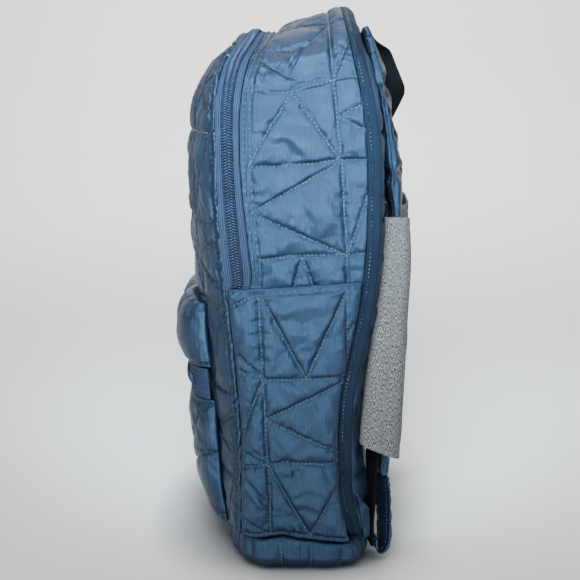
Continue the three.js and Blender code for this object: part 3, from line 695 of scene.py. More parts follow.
def thread_mat(name, light, dark):
    m = Nodes(name)
    m.b.inputs["Specular IOR Level"].default_value = 0.5
    m.b.inputs["Sheen Weight"].default_value = 0.2
    tc = m.new("ShaderNodeTexCoord").outputs["Object"]
    n = m.noise(900.0, 2.0, 0.6, tc)
    w = m.new("ShaderNodeTexWave")
    w.wave_type = "BANDS"
    w.bands_direction = "DIAGONAL"
    w.inputs["Scale"].default_value = 1600.0
    w.inputs["Distortion"].default_value = 1.5
    m.link(tc, w.inputs["Vector"])
    m.link(m.mixcol(n, dark, light), m.b.inputs["Base Color"])
    m.link(m.math("ADD", m.math("MULTIPLY", n, 0.2), 0.42), m.b.inputs["Roughness"])
    m.link(m.bump(w.outputs[1], 0.00008, 0.6), m.b.inputs["Normal"])
    return m.mat


def woven(name, light, dark, rib=1.0, rough=0.75, dist=0.00018, axis="cv", sheen=0.15, cross=0.6, speck=0.0,
          stripe=0.14, spec=0.22):
    """Ribbed tape or webbing: ribs along cv, threads across."""
    m = Nodes(name)
    m.b.inputs["Sheen Weight"].default_value = sheen
    m.b.inputs["Specular IOR Level"].default_value = spec
    tc = m.new("ShaderNodeTexCoord").outputs["Object"]
    cu, cv = m.attr("cu"), m.attr("cv")
    a = m.math("SINE", m.math("MULTIPLY", cv if axis == "cv" else cu, 2 * math.pi / rib))
    z = m.math("SINE", m.math("ADD", m.math("MULTIPLY", cu if axis == "cv" else cv, 2 * math.pi / cross),
                              m.math("MULTIPLY", a, 1.2)))
    n = m.noise(1500.0, 2.0, 0.6, tc)
    big = m.noise(60.0, 3.0, 0.6, tc)
    h = m.math("ADD", m.math("ADD", m.math("MULTIPLY", a, 0.35), m.math("MULTIPLY", z, 0.35)), m.math("MULTIPLY", n, 0.6))
    m.link(m.bump(h, dist, 0.9), m.b.inputs["Normal"])
    f = m.math("ADD", m.math("MULTIPLY", z, 0.22), m.math("MULTIPLY", big, 0.55))
    f = m.math("ADD", f, m.math("MULTIPLY", a, stripe))
    f = m.math("ADD", f, m.math("MULTIPLY", n, 0.25 + speck), clamp=True)
    m.link(m.mixcol(f, dark, light), m.b.inputs["Base Color"])
    m.link(m.math("ADD", m.math("MULTIPLY", n, 0.15), rough - 0.07), m.b.inputs["Roughness"])
    return m.mat


def heather_mat(name):
    """Grey melange jersey: dark and pale fibres, lightly brushed."""
    m = Nodes(name)
    m.b.inputs["Sheen Weight"].default_value = 0.06
    m.b.inputs["Sheen Roughness"].default_value = 0.6
    m.b.inputs["Specular IOR Level"].default_value = 0.2
    tc = m.new("ShaderNodeTexCoord").outputs["Object"]
    cu, cv = m.attr("cu"), m.attr("cv")
    comb = m.new("ShaderNodeCombineXYZ")
    m.link(m.math("MULTIPLY", cu, 1.0), comb.inputs[0])
    m.link(m.math("MULTIPLY", cv, 0.45), comb.inputs[1])
    uv = comb.outputs[0]
    fib = m.noise(1.05, 3.0, 0.75, uv)
    fib2 = m.noise(3.1, 2.0, 0.7, uv)
    ramp = m.new("ShaderNodeValToRGB")
    ramp.color_ramp.elements[0].position, ramp.color_ramp.elements[1].position = 0.40, 0.58
    ramp.color_ramp.elements[0].color = srgb(5, 6, 7)
    ramp.color_ramp.elements[1].color = srgb(128, 127, 126)
    e = ramp.color_ramp.elements.new(0.49)
    e.color = srgb(44, 44, 45)
    m.link(m.math("ADD", m.math("MULTIPLY", fib, 0.62), m.math("MULTIPLY", fib2, 0.38)), ramp.inputs[0])
    m.link(ramp.outputs[0], m.b.inputs["Base Color"])
    knit = m.math("SINE", m.math("MULTIPLY", cu, 2 * math.pi / 1.1))
    h = m.math("ADD", m.math("MULTIPLY", knit, 0.25), m.math("MULTIPLY", fib2, 1.0))
    m.link(m.bump(h, 0.00035, 0.8), m.b.inputs["Normal"])
    m.link(m.math("ADD", m.math("MULTIPLY", fib2, 0.1), 0.84), m.b.inputs["Roughness"])
    return m.mat


def hard_mat(name, light, dark, rough=0.4, metal=0.0, spec=0.5):
    m = Nodes(name)
    m.b.inputs["Specular IOR Level"].default_value = spec
    m.b.inputs["Metallic"].default_value = metal
    tc = m.new("ShaderNodeTexCoord").outputs["Object"]
    n = m.noise(420.0, 4.0, 0.6, tc)
    g = m.noise(70.0, 2.0, 0.5, tc)
    m.link(m.mixcol(g, dark, light), m.b.inputs["Base Color"])
    m.link(m.math("ADD", m.math("MULTIPLY", n, 0.2), rough - 0.1), m.b.inputs["Roughness"])
    m.link(m.bump(n, 0.0002, 0.5), m.b.inputs["Normal"])
    return m.mat


QUILT = satin("quilt_blue_nylon", srgb(32, 44, 64), srgb(11, 18, 31), rough=0.36, sheen=0.0, rib=1.75, rib_axis="cu")
SHADE = satin("shade_blue_nylon", srgb(30, 40, 58), srgb(14, 20, 32), rough=0.5, sheen=0.0, rib=1.75, rib_axis="cu")
BIND = satin("binding_blue_nylon", srgb(17, 23, 35), srgb(7, 10, 17), rough=0.55, sheen=0.0, rib=0.9, rib_axis="cu", spec=0.2)
NAVY = satin("strap_navy_satin", srgb(24, 34, 54), srgb(7, 10, 20), rough=0.30, sheen=0.0, seams=True)
THREAD = thread_mat("thread_blue", srgb(58, 82, 112), srgb(14, 22, 36))
# near-black needle holes: painted shade in the tiny holes
HOLE_SHADE = satin("needle_hole_shade", srgb(6, 10, 17), srgb(3, 5, 9), rough=0.85, sheen=0.0, seams=False, spec=0.2)
THREAD_DARK = thread_mat("thread_navy", srgb(40, 58, 84), srgb(12, 20, 34))
TAPE_MAT = woven("zip_tape_weave", srgb(32, 51, 80), srgb(6, 11, 23), rib=1.5, cross=1.0, rough=0.7, dist=0.0003,
                 axis="cu", sheen=0.0, stripe=0.5)
COIL_MAT = hard_mat("zip_coil_nylon", srgb(24, 42, 70), srgb(5, 10, 20), rough=0.5, spec=0.3)
HEATHER = heather_mat("heather_jersey")
BLACK = woven("webbing_black_weave", srgb(12, 13, 15), srgb(2, 2, 3), rib=1.6, cross=2.2, rough=0.85, dist=0.0003, sheen=0.0, spec=0.06)
CHARCOAL = woven("webbing_charcoal_weave", srgb(7, 9, 13), srgb(1, 2, 3), rib=1.5, cross=1.9, rough=0.8, dist=0.0003, sheen=0.0, spec=0.08)
METAL = hard_mat("slider_gunmetal", srgb(70, 74, 82), srgb(38, 41, 48), rough=0.32, metal=0.9)
PLASTIC = hard_mat("plate_black_plastic", srgb(30, 31, 34), srgb(14, 15, 17), rough=0.42)


def dress(ob, mat, slot, node=None):
    ob.data.materials.clear()
    ob.data.materials.append(mat)
    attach(ob, "root")
    if node:
        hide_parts(*([node] if isinstance(node, str) else node))
    return ob


# ------------------------------------------------------------------ side band
def band_front(q):
    low = body("panelEdge", q) + (body("bandFront", 215.0) - body("panelEdge", q)) * smooth(198, 215, q)
    return np.where(np.asarray(q) >= 215, body("bandFront", q), low)


def q_at(L):
    return outline(L, 0, CROWN)[2]


HALF_RUN = TOTAL / 2
BAND_L = np.concatenate([np.arange(0, 176, 8.0), np.arange(176, HALF_RUN - 1, 2.55)])
BAND_L = np.concatenate([BAND_L, [HALF_RUN], (TOTAL - BAND_L)[::-1]])
ROW_A = [(2.9, 186), (2.6, 201.7), (2.4, 223.6), (2.8, 245.4), (3.2, 266.9), (3.4, 288.3), (3.2, 341), (3.0, 374), (3.0, HALF_RUN)]
ROW_B = [(7.2, 186), (7.0, 201.7), (6.8, 223.6), (7.0, 245.4), (7.6, 266.9), (7.8, 288.3), (7.6, 341), (7.2, 374), (7.2, HALF_RUN)]
NEAR_SEAMS = [
    [(28.8, HALF_RUN), (28.2, 399.9), (28.9, 367.4), (30.6, 337.5), (33.4, 311.7), (37.1, 282.6), (38.7, 252.6), (41.2, 212.7), (42.1, 182)],
    [(-28.5, 335.2), (-19.9, 333), (0, 331.7), (30.6, 335.5), (39.8, 336.4), (53, 339.6)],
    [(-28.3, 372), (-2.9, 346.2), (7.1, 339.7), (30.6, 335.5)],
    [(-28.3, 372), (-13.2, 379.4), (2.2, 373.9), (12.4, 373.4), (21.3, 385.2), (28.1, 395.7), (44.2, 398.7)],
    [(-30, 276.2), (0.7, 330.9)], [(0.7, 330.9), (35.7, 281.2)],
    [(-28.6, 276.2), (-12.9, 276.2), (14.3, 278.4), (35.7, 281.2), (58, 281.2)],
    [(36.4, 279.8), (-28.7, 242.5)], [(-28.7, 242.5), (39.7, 212.7)],
    [(-23.1, 208.3), (0, 211.3), (41.2, 212.7), (56.3, 213.4)],
    [(0.7, 182), (8.7, 210.5)], [(8.7, 210.5), (19.6, 182)],
    [(57, 322.1), (34.1, 310.5)], [(34.1, 310.5), (57, 301.8)],
    [(42.6, 214.2), (50.3, 238.1), (57, 259.8)],
    [(31.3, 337.4), (46, 374.8)],
    [(28.1, 397), (-11, 428)], [(-11, 428), (28.6, 458)], [(-11, 458), (44, 458)],
    [(28.6, 458), (16, HALF_RUN)],
]


def band_segs():
    segs = []
    for row in (ROW_A, ROW_B):
        L = np.concatenate([np.arange(186, HALF_RUN, 5.0), [HALF_RUN]])
        off = np.interp(L, [r[1] for r in row], [r[0] for r in row])
        T = band_front(q_at(L)) + 0.4 + off
        pts = list(zip(T, L))
        segs += polyline(*[(float(a), float(b)) for a, b in pts])
        segs += polyline(*[(float(a), float(TOTAL - b)) for a, b in pts])
    for pl in NEAR_SEAMS:
        segs += polyline(*pl)
        segs += polyline(*[(a, TOTAL - b) for a, b in pl])
    return segs


def make_band():
    nb = 37
    bb = np.linspace(0, 1, nb)
    q = q_at(BAND_L)
    t0, t1 = band_front(q) + 0.4, body("back", q) - 9.2
    U = t0[:, None] + (t1 - t0)[:, None] * bb[None, :]
    V = np.repeat(BAND_L[:, None], nb, 1)
    segs = band_segs()
    cap = smooth(196, 224, np.minimum(V, TOTAL - V) + 27.5)
    ob = quilted("side_band_quilt", U, V, lambda u, v: body_point(u, v), segs, 5.0 * cap, 7.0, seed=3,
                 folds=[([(11.6, 373.8), (6.5, 360.7), (1.4, 351.5), (-2.9, 347.1)], 2.2, 1.5),
                        ([(7.1, 339.7), (2.8, 335.9), (0.7, 331.6)], 1.5, 1.2),
                        ([(-18, 352), (-20, 343), (-14, 338)], 1.2, 1.4),
                        ([(-8, 368), (4, 352)], 0.9, 1.8)])
    return ob, segs


# ------------------------------------------------------------------ front panel
FRONT_H = 401.0 - 0.3 - Z_SPRING


def front_r(x, z):
    h = half_at(np.minimum(z, Z_SPRING)) - 0.3
    lo = np.abs(x) / h
    hi = ((np.abs(x) / (HALF_W - 0.3)) ** ARCH_N + (np.maximum(z - Z_SPRING, 0) / FRONT_H) ** ARCH_N) ** (1 / ARCH_N)
    return np.where(z <= Z_SPRING, lo, hi)


def front_q(z):
    return np.where(z <= Z_SPRING, z, Z_SPRING + (CROWN - Z_SPRING) * np.maximum(z - Z_SPRING, 0) / FRONT_H)


def front_at(x, z):
    q, r = front_q(z), np.minimum(1, front_r(x, z))
    e, mid = body("panelEdge", q) - 0.4, body("panelMid", q) - 0.4
    y = e + (mid - e) * (1 - r ** 3.0) ** 0.8
    return np.stack([x, y + DY, z], -1)


def arch_grid(nu, nv_low, nv_high, half_w, top, inset, dense=1.25):
    """(x, z) grid of the arch-shaped plan."""
    t = np.linspace(-1, 1, nu)
    u = np.sign(t) * (1 - (1 - np.abs(t)) ** dense)
    v = np.concatenate([np.linspace(-1, 0, nv_low), 1 - (1 - np.linspace(0, 1, nv_high)[1:]) ** dense])
    uu, vv = np.meshgrid(u, v)
    m = np.maximum(np.abs(uu), np.maximum(vv, 0))
    vp = np.maximum(vv, 1e-9)
    k = m / (np.abs(uu) ** ARCH_N + vp ** ARCH_N) ** (1 / ARCH_N)
    zl = Z_SPRING + vv * (Z_SPRING - Z_BASE)
    low = vv <= 0
    x = np.where(low, (half_at(zl) - inset) * uu, (half_w - inset) * uu * k)
    z = np.where(low, zl, Z_SPRING + (top - inset - Z_SPRING) * vp * k)
    return x, z


def arch_line(r, z0=28.0, n=60):
    """Polyline round the arch at the fraction r of its half width."""
    ph = np.linspace(0, math.pi / 2, n // 2)
    k = 1 / (np.cos(ph) ** ARCH_N + np.sin(ph) ** ARCH_N) ** (1 / ARCH_N)
    xs, zs = 134.7 * r * np.cos(ph) * k, Z_SPRING + FRONT_H * r * np.sin(ph) * k
    low = [(float((half_at(z) - 0.3) * r), float(z)) for z in np.arange(z0, Z_SPRING, 8.0)]
    right = low + [(float(a), float(b)) for a, b in zip(xs, zs)]
    return polyline(*right) + polyline(*[(-a, b) for a, b in right])


def quilt_cells(xs, zs, clip, flip=False):
    """Square grid of seams with a triangle in each square, pointing up or to the side in turn."""
    segs = []
    def put(a, b):
        n = 12
        pts = [(a[0] + (b[0] - a[0]) * i / n, a[1] + (b[1] - a[1]) * i / n) for i in range(n + 1)]
        run = []
        for p in pts:
            if clip(*p):
                run.append(p)
            else:
                if len(run) > 1:
                    segs.append((run[0], run[-1]))
                run = []
        if len(run) > 1:
            segs.append((run[0], run[-1]))
    for x in xs:
        for z0, z1 in zip(zs[:-1], zs[1:]):
            put((x, z0), (x, z1))
    for z in zs:
        for x0, x1 in zip(xs[:-1], xs[1:]):
            put((x0, z), (x1, z))
    for i, (x0, x1) in enumerate(zip(xs[:-1], xs[1:])):
        for j, (z0, z1) in enumerate(zip(zs[:-1], zs[1:])):
            if (i + j + int(flip)) % 2 == 0:
                put((x0, z0), ((x0 + x1) / 2, z1))
                put(((x0 + x1) / 2, z1), (x1, z0))
            else:
                put((x1, z0), (x0, (z0 + z1) / 2))
                put((x0, (z0 + z1) / 2), (x1, z1))
    return segs


def make_front():
    X, Z = arch_grid(109, 118, 35, HALF_W, 401.0, 0.3)
    segs = arch_line(0.962)
    inside = lambda x, z: float(front_r(np.array(x), np.array(z))) < 0.962 and not (abs(x) < 84 and z < 180)
    segs += quilt_cells([-160, -96, -32, 32, 96, 160], [7, 71, 135, 199, 263, 327, 391, 455], inside)
    hidden = (np.abs(X) < 90) & (Z < 188) | (Z < 30)
    cap = np.where(hidden, 0.15, 1.0)
    ob = quilted("front_panel_quilt", X, Z, front_at, segs, 5.0 * cap, 7.0, seed=5, edge_ruche=(front_r, 0.962))
    return ob, segs


# ------------------------------------------------------------------ side pockets
def pocket_hem(T):
    z = 215.0
    a = np.clip((T + 46.4) / (53.5 + 46.4), 0, 1)
    return 215.0 + POCKET_RISE * a


POCKET_RISE = 6.0
FOOT_T = [-46, -37.2, -29.8, -20.9, -6.7, 7.4, 22.4, 39.5, 48.4, 55.1]
FOOT_Z = [28.5, 28.6, 25.6, 25.4, 27.8, 25.2, 23.4, 21.6, 23.0, 27.0]


def foot_z(T):
    """Height of the seam between side pocket and bottom."""
    return np.interp(T, FOOT_T, FOOT_Z)

POCKET_SEAMS = [
    [(-23.1, 212.6), (-22.4, 200.9), (-21, 178.8), (-20.4, 156.5), (-19, 137.7), (-18.3, 118.9), (-16.9, 96.1), (-16.2, 84.7), (-14.8, 57.8), (-14.1, 28.3)],
    [(41.1, 215.0), (42, 186.2), (42.9, 163.9), (43.8, 149), (44.7, 126.4), (45.6, 96.1), (45.9, 57.8), (46.2, 26.7)],
    [(-36.4, 155), (-29.2, 152.7), (-20.4, 150.5), (-16, 149), (7.3, 149), (29.2, 150.5), (43.7, 151.2)],
    [(-20.2, 209.7), (11.7, 149.7)], [(11.7, 149.7), (39.7, 211.9)],
    [(43.8, 149), (-18.3, 118.9)], [(-18.3, 118.9), (45.7, 89.2)],
    [(-36.9, 81.6), (-18.4, 84.7), (-3.7, 86.9), (7.4, 86.2), (22.1, 84.7), (35.4, 85.4), (45.7, 89.2)],
    [(-16.2, 84.7), (14.9, 28.3)], [(14.9, 28.3), (45.7, 86.9)],
    [(-23.1, 213.4), (-42.6, 202.4)], [(-20.4, 151.2), (-37.8, 166.2)],
    [(-19.7, 149), (-29.3, 124.9), (-36, 103.7)], [(-17, 84.7), (-35.3, 93.8)], [(-14.1, 28.3), (-37.1, 42.3)],
    [(55, 199.4), (43.5, 186.2)], [(43.5, 186.2), (50.8, 178)],
]
POCKET_FOLDS = [
    ([(-34, 74), (-24, 62), (-15, 52)], 1.9, 2.0), ([(-28, 96), (-20, 90)], 1.0, 1.5), ([(-27, 84), (-26, 78)], 0.9, 1.0),
    ([(1, 92), (2, 86), (3, 78), (4, 66)], 1.3, 1.6), ([(6, 84), (8, 68)], 0.9, 2.0), ([(0, 38), (4, 30)], 1.5, 1.6),
    ([(-12, 104), (-4, 94)], 0.8, 1.6),
]


def make_side_pocket(tag, side):
    nu, nv = 40, 74
    b = np.linspace(0, 1, nv)
    z_nom = Z_BASE + 0.2 + (215.0 - Z_BASE - 0.2) * b
    t0, t1 = body("panelEdge", z_nom) + 0.6, body("back", z_nom) - 9.5
    aa = np.linspace(0, 1, nu)
    U = t0[:, None] + (t1 - t0)[:, None] * aa[None, :]
    top = 215.0 + POCKET_RISE * aa
    foot = foot_z(U[0])
    V = foot[None, :] + 0.5 + (top[None, :] - foot[None, :] - 0.5) * b[:, None]

    def point(T, z):
        zc = np.clip(z, Z_BASE, 215.0)
        e0, e1 = body("panelEdge", zc) + 0.6, body("back", zc) - 9.5
        a = np.clip((T - e0) / (e1 - e0), 0, 1)
        bb = np.clip((z - Z_BASE - 0.2) / (215.0 + POCKET_RISE * a - Z_BASE - 0.2), 0, 1)
        across, up = 1 - np.abs(a * 2 - 1) ** 6.0, 1 - np.abs(1 - (1 - (1 - bb))) ** 8.0
        up = 1 - np.abs(1 - bb) ** 8.0
        x = side * (138.8 + 5.8 * across * up)
        return np.stack([x, T + DY, z], -1)

    hem = [(float(a), float(pocket_hem(a) - 3.4)) for a in np.linspace(-46, 53, 20)]
    low = [(float(t), float(foot_z(t) + 3.6)) for t in np.linspace(-38, 55, 26)]
    segs = polyline(*hem) + polyline(*low)
    for pl in POCKET_SEAMS:
        segs += polyline(*pl)
    ob = quilted(f"side_pocket_{tag}_quilt", U, V, point, segs, np.full(U.shape, 4.6), 4.0, seed=11 + (side < 0),
                 folds=POCKET_FOLDS + [([(float(t), float(pocket_hem(t) - 5.2)) for t in np.linspace(-45, 52, 12)], 0.8, 0.9)])
    return ob, segs


# ------------------------------------------------------------------ lofted pieces
def loft(name, R, loop=False, seam=None, near=None, cu=None, cv=None):
    """Closed skin over rings R (rings, points, xyz) in mm; ends capped unless it loops."""
    R = np.asarray(R, float)
    m, n, _ = R.shape
    idx = np.arange(m * n).reshape(m, n)
    nxt = np.roll(idx, -1, axis=1)
    rows_ = range(m if loop else m - 1)
    faces = []
    for k in rows_:
        b = (k + 1) % m
        faces += [tuple(f) for f in np.stack([idx[k], nxt[k], nxt[b], idx[b]], -1)]
    if not loop:
        faces.append(tuple(idx[0][::-1]))
        faces.append(tuple(idx[-1]))
    P = R.reshape(-1, 3)
    q = np.stack([idx, nxt, np.roll(nxt, -1, 0), np.roll(idx, -1, 0)], -1)
    q = q if loop else q[:-1]
    q = q.reshape(-1, 4)
    vol = np.sum(P[q[:, 0]] * np.cross(P[q[:, 1]], P[q[:, 2]])) + np.sum(P[q[:, 0]] * np.cross(P[q[:, 2]], P[q[:, 3]]))
    if not loop:
        c0, c1 = R[0].mean(0), R[-1].mean(0)
        vol -= np.sum(c0 * np.cross(R[0], np.roll(R[0], -1, 0)))
        vol += np.sum(c1 * np.cross(R[-1], np.roll(R[-1], -1, 0)))
    if vol < 0:
        faces = [f[::-1] for f in faces]
    ob = link(name, P * MM, faces)
    if cu is None:
        cu = np.concatenate([[0], np.cumsum(np.linalg.norm(np.diff(R[m // 2], axis=0), axis=-1))])[None, :].repeat(m, 0)
    if cv is None:
        mid = R.mean(1)
        cv = np.concatenate([[0], np.cumsum(np.linalg.norm(np.diff(mid, axis=0), axis=-1))])[:, None].repeat(n, 1)
    put_attr(ob, "cu", np.broadcast_to(cu, (m, n)).ravel())
    put_attr(ob, "cv", np.broadcast_to(cv, (m, n)).ravel())
    put_attr(ob, "seam", np.zeros(m * n) if seam is None else np.broadcast_to(seam, (m, n)).ravel())
    put_attr(ob, "near", np.zeros(m * n) if near is None else np.broadcast_to(near, (m, n)).ravel())
    return ob


def sew_path(rows_, P, N, pitch=2.9, length=1.8, radius=0.28, lift=0.05):
    """Stitches along a line of points (mm) with their normals."""
    P, N = np.asarray(P, float), np.asarray(N, float)
    s = np.concatenate([[0], np.cumsum(np.linalg.norm(np.diff(P, axis=0), axis=-1))])
    for a in np.arange(pitch * 0.5, s[-1], pitch):
        p = np.array([np.interp(a, s, P[:, i]) for i in range(3)])
        n = np.array([np.interp(a, s, N[:, i]) for i in range(3)])
        b = np.array([np.interp(min(a + 1, s[-1]), s, P[:, i]) for i in range(3)])
        c = np.array([np.interp(max(a - 1, 0), s, P[:, i]) for i in range(3)])
        t = b - c
        t /= max(1e-9, np.linalg.norm(t))
        n = n - t * np.dot(n, t)
        n /= max(1e-9, np.linalg.norm(n))
        rows_.append(((p + n * lift) * MM, t, n, length * MM, radius * MM))
        HOLES.append(((c + b) * 0.5 * MM + t * 1.45 * MM - n * 0.05 * MM, t, n, 1.05 * MM, 0.40 * MM))


def zip_teeth(name, f, along, half=4.1, rise=1.7, radius=0.62, high=2.0):
    """Interlocked coil: one slanting tooth to each side at every pitch. f(along, across, lift) gives mm."""
    s = np.array([-0.06, 0.3, 0.62, 0.88, 1.0])
    lift = np.array([high - 0.25, high, high - 0.35, high - 1.0, 0.5])
    ang = np.linspace(0, 2 * math.pi, 6, endpoint=False)
    V, F = [], []
    base = 0
    step = along[1] - along[0]
    for sgn in (1, -1):
        A = along[:, None] - rise * s[None, :] + (0.5 * step if sgn < 0 else 0)
        C = sgn * half * s[None, :] + 0 * A
        Lf = np.broadcast_to(lift[None, :], A.shape)
        P = f(A, C, Lf)
        Nn = f(A, C, Lf + 0.5) - P
        Nn /= np.linalg.norm(Nn, axis=-1, keepdims=True)
        T = np.gradient(P, axis=1)
        T /= np.linalg.norm(T, axis=-1, keepdims=True)
        B = np.cross(T, Nn)
        B /= np.linalg.norm(B, axis=-1, keepdims=True)
        M = np.cross(B, T)
        rr = radius * np.array([0.8, 1.0, 1.0, 1.0, 0.8])
        ringp = P[:, :, None, :] + rr[None, :, None, None] * (
            B[:, :, None, :] * np.cos(ang)[None, None, :, None] + M[:, :, None, :] * np.sin(ang)[None, None, :, None])
        n_el = P.shape[0]
        V.append(ringp.reshape(-1, 3))
        k, i = np.meshgrid(np.arange(4), np.arange(6), indexing="ij")
        j = (i + 1) % 6
        q = np.stack([k * 6 + i, k * 6 + j, (k + 1) * 6 + j, (k + 1) * 6 + i], -1).reshape(-1, 4)
        for e in range(n_el):
            o = base + e * 30
            F += [tuple(int(x) for x in row) for row in (q + o)]
            F.append(tuple(o + x for x in range(5, -1, -1)))
            F.append(tuple(o + 24 + x for x in range(6)))
        base += n_el * 30
    ob = link(name, np.concatenate(V) * MM, F)
    bm = bmesh.new()
    bm.from_mesh(ob.data)
    bmesh.ops.recalc_face_normals(bm, faces=bm.faces)
    bm.to_mesh(ob.data)
    bm.free()
    ob.data.polygons.foreach_set("use_smooth", np.ones(len(ob.data.polygons), bool))
    return ob


# ------------------------------------------------------------------ main zip
def make_main_zip():
    h0 = 206.7 - Z_BASE
    L = np.concatenate([np.arange(h0, HALF_RUN, 3.0), [HALF_RUN]])
    L = np.concatenate([L, (TOTAL - L[:-1])[::-1]])
    q = q_at(L)
    t0, t1 = body("panelEdge", q) - 0.2, band_front(q) + 0.3
    a = np.linspace(0, 1, 31)
    d = (a - 0.5) * np.median(t1 - t0)
    # rises of the tape across its width: folded edges, two cords beside the coil
    rise = 0.25 * np.exp(-((np.abs(d) - 7.4) / 0.5) ** 2) + 0.55 * np.exp(-((np.abs(d) - 5.6) / 0.55) ** 2) \
        + 0.18 * np.sin(d * 2 * math.pi / 1.3) * (np.abs(d) > 5)
    T = t0[:, None] + (t1 - t0)[:, None] * a[None, :]
    Lg = np.repeat(L[:, None], 31, 1)
    wave = 0.22 * noise1(51, Lg + 300 * (d > 0), 5.0)
    up = body_point(T, Lg, -1.0 + rise[None, :] + wave * (np.abs(d) > 4.5))
    dn = body_point(T[:, ::-1][:, ::3], Lg[:, ::3], -2.6)
    R = np.concatenate([up, dn], 1)
    dark = np.concatenate([np.exp(-((np.abs(d) - 4.7) / 0.5) ** 2), np.zeros(dn.shape[1])])
    cuv = np.concatenate([d, np.zeros(dn.shape[1])])
    ob = loft("main_zip_tape", R, seam=dark[None, :], cu=cuv[None, :], cv=L[:, None])
    dress(ob, TAPE_MAT, "zip_tape", "main_zipper_tape")
    al = np.arange(215 - Z_BASE + 1, TOTAL - (215 - Z_BASE) - 1, 2.05)

    def f(Lv, c, lift):
        qv = q_at(Lv)
        mid = (body("panelEdge", qv) + body("bandFront", np.maximum(qv, 215))) / 2
        # the teeth slant down on both sides of the crown
        return body_point(mid + c, Lv, -1.0 + lift)

    near_half = al[al < HALF_RUN]
    far_half = TOTAL - near_half
    c1 = zip_teeth("coil_a", f, near_half)
    c2 = zip_teeth("coil_b", f, far_half[::-1], rise=-1.7)
    ob = join("main_zip_coil", [c1, c2])
    dress(ob, COIL_MAT, "zip_coil", "main_zipper_coil")


def join(name, obs):
    V, F, o = [], [], 0
    for ob in obs:
        c = coords(ob)
        V.append(c)
        F += [tuple(v + o for v in p.vertices) for p in ob.data.polygons]
        o += len(c)
        me = ob.data
        bpy.data.objects.remove(ob)
        bpy.data.meshes.remove(me)
    return link(name, np.concatenate(V), F)


# ------------------------------------------------------------------ binding and back panel
def make_binding(rows_):
    L = np.concatenate([np.arange(0, HALF_RUN, 2.6), [HALF_RUN]])
    L = np.concatenate([L, (TOTAL - L[:-1])[::-1]])
    q = q_at(L)
    y1 = body("back", q) - 0.3
    prof = []          # (depth back from the rear edge 0..8.5, inset)
    for d in np.concatenate([[9.4, 8.9], np.linspace(8.3, 0.3, 14)]):
        prof.append((d, -0.4 - 0.75 * math.sin(math.pi * (d / 8.5)) + 0.55 * math.exp(-((d - 6.6) / 0.7) ** 2)))
    for d, i in ((0.0, 0.1), (-0.15, 1.2), (-0.05, 2.4), (0.6, 3.1), (4.0, 3.1), (8.0, 3.1), (8.5, 2.4), (8.5, 0.8), (8.55, -0.12), (9.4, -0.10)):
        prof.append((d, i))
    prof = np.array(prof)
    T = y1[:, None] - prof[None, :, 0]
    Lg = np.repeat(L[:, None], len(prof), 1)
    outer = (prof[:, 1] < 0.5).astype(float)
    ripple = outer[None, :] * (0.22 * noise1(61, Lg, 2.3) + 0.25 * noise1(62, Lg + prof[None, :, 0] * 0.7, 9.0))
    R = body_point(T, Lg, -(prof[None, :, 1]) + ripple)
    # painted shade in the groove of the stitch line, carried as the seam mask
    dark = np.exp(-((prof[:, 0] - 6.6) / 0.7) ** 2) * outer * 0.8
    ob = loft("back_binding_tape", R, seam=dark[None, :], cu=(prof[:, 0] * 1.0)[None, :], cv=L[:, None])
    dress(ob, BIND, "binding", "back_binding")
    P = body_point(y1 - 6.6, L, 0.2)
    N = body_point(y1 - 6.6, L, 1.2) - P
    sew_path(rows_, P, N, radius=0.28)


def back_at(x, z):
    zz = np.minimum(z, Z_SPRING)
    H = 415.6 - 3.9 - Z_SPRING
    lo = np.abs(x) / (half_at(zz) - 3.9)
    hi = ((np.abs(x) / (HALF_W - 3.9)) ** ARCH_N + (np.maximum(z - Z_SPRING, 0) / H) ** ARCH_N) ** (1 / ARCH_N)
    r = np.minimum(1, np.where(z <= Z_SPRING, lo, hi))
    q = np.where(z <= Z_SPRING, z, Z_SPRING + (CROWN - Z_SPRING) * np.maximum(z - Z_SPRING, 0) / H)
    y = body("back", q) - 0.8 + (body("backBulge", q) + 3.6 + 3.0 * np.exp(-((z - 150.0) / 60.0) ** 2)) * (1 - r ** 6.0) ** 0.8
    return np.stack([x, y + DY, z], -1)


def make_back():
    X, Z = arch_grid(75, 84, 24, HALF_W, 415.6, 3.9, dense=1.1)
    H = 415.6 - 3.9 - Z_SPRING

    def inside(x, z):
        if z <= Z_SPRING:
            return abs(x) < 124
        return (abs(x) / 124) ** ARCH_N + ((z - Z_SPRING) / (H * 0.93)) ** ARCH_N < 1
    segs = quilt_cells([-160, -96, -32, 32, 96, 160], [7, 71, 135, 199, 263, 327, 391, 455], inside, flip=True)
    ob = quilted("back_panel_quilt", X, Z, back_at, segs, 3.2, 7.0, cloth=True, seed=21, step=3.6)
    dress(ob, SHADE, "shade_blue", "back_panel")
    return ob, segs


# ------------------------------------------------------------------ bottom
TRAY_W, TRAY_MID, TRAY_BACK, TRAY_FRONT, TRAY_BULGE, TRAY_N = 140.5, 8.0, 52.0, 46.0, 14.0, 6.0


def tray_loop(c, s, inset):
    k = 1 / (np.abs(c) ** TRAY_N + np.abs(s) ** TRAY_N) ** (1 / TRAY_N)
    px, py = c * k, s * k
    depth = np.where(py > 0, TRAY_BACK, TRAY_FRONT + TRAY_BULGE * (1 - px ** 2))
    return px * (TRAY_W - inset), TRAY_MID + py * (depth - inset)


